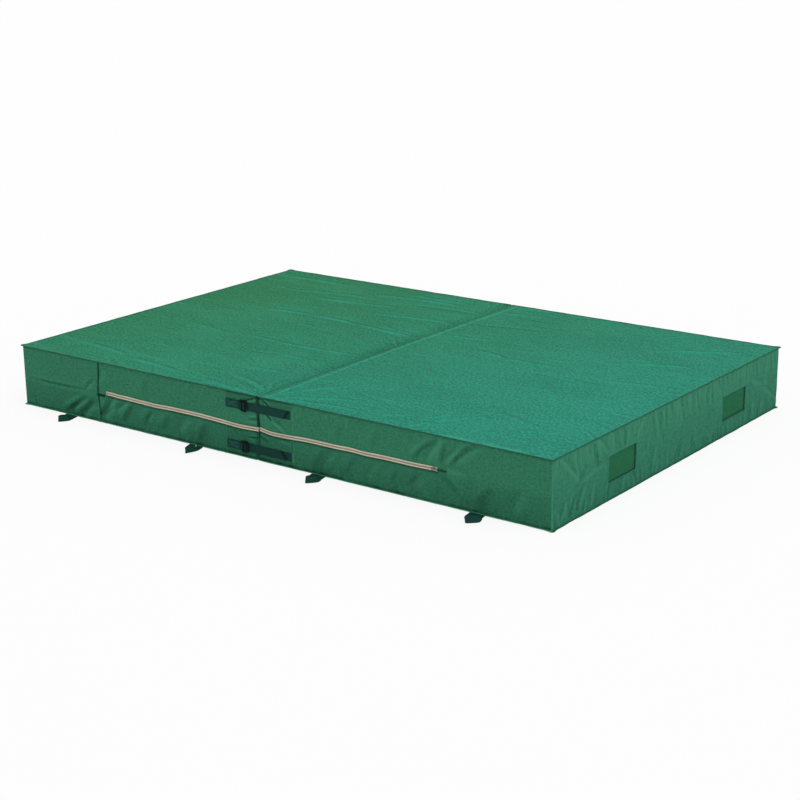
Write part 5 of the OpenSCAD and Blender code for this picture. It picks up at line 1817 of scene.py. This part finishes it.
# Each loop: its middle along the wall, its webbing's width, and its path over the floor (along the wall from the
# middle and out of it, in millimetres, and how far it stands on edge, in hundredths)
LOOPS = {
    "left_outer": (-1.174, 0.028, (
        (-20, -4, 0), (-20, 16, 0), (-16, 48, 12), (1, 82, 70), (13, 106.5, 100), (21, 112, 100),
        (30, 103, 100), (43, 86, 100), (47, 72, 95), (36, 56, 50), (23, 38, 10), (18, 14, 0), (18, -4, 0),
    )),
    "left_inner": (-0.362, 0.028, (
        (-28, -4, 0), (-28, 16, 0), (-18, 48, 12), (4, 82, 70), (18, 106, 100), (26, 112, 105), (32, 104, 115),
        (37, 86, 110), (39, 70, 95), (32, 54, 50), (22, 38, 10), (14, 14, 0), (14, -4, 0),
    )),
    "right_inner": (0.338, 0.028, (
        (-19, -4, 0), (-19, 16, 0), (-15, 48, 12), (-2, 82, 70), (9, 106, 100), (16, 112, 100), (25, 104, 100),
        (41, 86, 100), (47, 72, 95), (36, 56, 50), (22, 38, 10), (18, 14, 0), (18, -4, 0),
    )),
    "right_outer": (1.155, 0.031, (
        (-19, -4, 0), (-19, 16, 0), (-15, 48, 12), (-1, 82, 70), (10, 106, 100), (17, 112.5, 100),
        (28, 104.5, 100), (45, 88, 100), (52, 74, 95), (38, 56, 50), (22, 38, 10), (18, 14, 0), (18, -4, 0),
    )),
}
LOOP_WIDE, LOOP_T = 0.038, 0.0020
LOOP_STAND = math.radians(82)
LOOP_NOSES = {"left_outer": "loop_nose_1", "right_outer": "loop_nose_4"}


class MAT_OT_carry_loops(bpy.types.Operator):
    """Build the eight carry loops, flat at the base seam and standing on edge at their noses"""

    bl_idname = "landing_mat.carry_loops"
    bl_label = "Carry loops"

    def execute(self, context):
        section = band_section(LOOP_WIDE, LOOP_T, 13)
        share = np.abs(section[:, 0]) / LOOP_WIDE
        dark = -1.6 * eased((share - 0.36) / 0.1) - 2.2 * np.cos(share * 6 * math.pi) ** 4
        for face_name, face in FACES:
            for place, loop in LOOPS.items():
                parts = Parts()
                centres, sides, normals = (v * (1, face, 1) for v in self.route(*loop))
                sweep(parts, centres, sides, normals, section, np.tile(dark, len(centres)))
                node = f"carry_loop_{face_name}_{place}"
                piece = parts.piece(f"loop_{face_name}_{place}", webbing_material("loop_webbing", 1.3))
                carried(piece, node, "webbing", node)
                if face < 0 and place in LOOP_NOSES:
                    near = piece_points(piece)
                    SHOWN[LOOP_NOSES[place]] = near[np.argmin(near[:, 1])][None]
        return {"FINISHED"}

    def route(self, middle, width, corners):
        """A back loop's middle line, and its webbing's across and through directions there."""
        x, out, stand = smooth_path(np.array(corners) / (1000, 1000, 100), 0.004).T
        angle = np.clip(stand, 0, 1.2) * LOOP_STAND
        lead = unit(np.gradient(np.stack([x, out, x * 0], 1), axis=0))
        sides = np.stack([lead[:, 1] * np.cos(angle), -lead[:, 0] * np.cos(angle), np.sin(angle)], 1)
        wide = LOOP_WIDE + (width - LOOP_WIDE) * eased((out - 0.02) / 0.07)
        low = np.maximum(LOOP_T / 2 + 0.0002, 0.0016 + 0.0028 * (1 - eased(out / 0.03)))
        centres = np.stack([middle + x, HALF_Y + out - 0.002, low + wide / 2 * np.sin(angle)], 1)
        return centres, sides * (wide / LOOP_WIDE)[:, None], np.cross(lead, sides)


class MAT_OT_stage(bpy.types.Operator):
    """Lay the pale floor, light it softly and set up the camera"""

    bl_idname = "landing_mat.stage"
    bl_label = "Stage"

    def execute(self, context):
        scene, stage, half, under = context.scene, context.scene.mat_stage, 140.0, 0.0004
        finish = kept("stage_floor", floor_finish, tuple(stage.floor_colour))
        corners = [(-half, -half, 0), (half, -half, 0), (half, half, 0), (-half, half, 0)]
        floor = make_piece("stage_floor", corners, [(0, 1, 2, 3)], finish, smooth=False)
        floor.location.z = -under
        scene.world = bpy.data.worlds.new("stage_sky")
        scene.world.use_nodes = True
        scene.world.node_tree.nodes.clear()
        sky = Nodes(scene.world.node_tree)
        light = sky.add("ShaderNodeBackground", None, {"Strength": stage.sky})
        plain = sky.add("ShaderNodeBackground", None, {"Color": (1.0, 1.0, 1.0, 1.0)})
        both = sky.add("ShaderNodeMixShader", None, {0: sky.seen(), 1: light, 2: plain})
        sky.add("ShaderNodeOutputWorld", None, {"Surface": both}, None)
        lamp = bpy.data.lights.new("overhead", "SUN")
        lamp.energy, lamp.angle = stage.lamp, math.radians(70)
        overhead = bpy.data.objects.new("overhead", lamp)
        overhead.rotation_euler = (math.radians(12), math.radians(27), 0)
        camera = bpy.data.cameras.new("camera")
        camera.sensor_fit, camera.sensor_width, camera.lens = "AUTO", SENSOR, stage.lens
        camera.clip_end = 500.0
        view = bpy.data.objects.new("camera", camera)
        right, up, back, eye = camera_axes()
        view.matrix_world = Matrix.Translation(eye) @ Matrix((right, up, back)).transposed().to_4x4()
        for thing in (overhead, view):
            scene.collection.objects.link(thing)
        scene.camera = view
        scene.view_settings.view_transform = "Standard"
        return {"FINISHED"}


OPERATORS = (
    MAT_OT_stage, MAT_OT_cover, MAT_OT_top_sheet, MAT_OT_seams, MAT_OT_patches, MAT_OT_vents, MAT_OT_zip,
    MAT_OT_straps, MAT_OT_locks, MAT_OT_carry_loops,
)


class MAT_PT_panel(bpy.types.Panel):
    """Lists the mat's settings and its building steps"""

    bl_idname = "MAT_PT_panel"
    bl_label = "Landing mat"
    bl_space_type = "VIEW_3D"
    bl_region_type = "UI"
    bl_category = "Landing mat"

    def draw(self, context):
        for group in (context.scene.mat_cover, context.scene.mat_trim, context.scene.mat_stage):
            box = self.layout.box()
            for key in group.__annotations__:
                box.prop(group, key)
        for step in OPERATORS:
            self.layout.operator(step.bl_idname)


CLASSES = (CoverSettings, TrimSettings, StageSettings, *OPERATORS, MAT_PT_panel)


def register():
    for item in CLASSES:
        bpy.utils.register_class(item)
    bpy.types.Scene.mat_cover = bpy.props.PointerProperty(type=CoverSettings)
    bpy.types.Scene.mat_trim = bpy.props.PointerProperty(type=TrimSettings)
    bpy.types.Scene.mat_stage = bpy.props.PointerProperty(type=StageSettings)


def unregister():
    del bpy.types.Scene.mat_stage, bpy.types.Scene.mat_trim, bpy.types.Scene.mat_cover
    for item in reversed(CLASSES):
        bpy.utils.unregister_class(item)


def main():
    register()
    for step in OPERATORS:
        family, name = step.bl_idname.split(".")
        getattr(getattr(bpy.ops, family), name)()
    write_points()


if __name__ == "__main__":
    main()
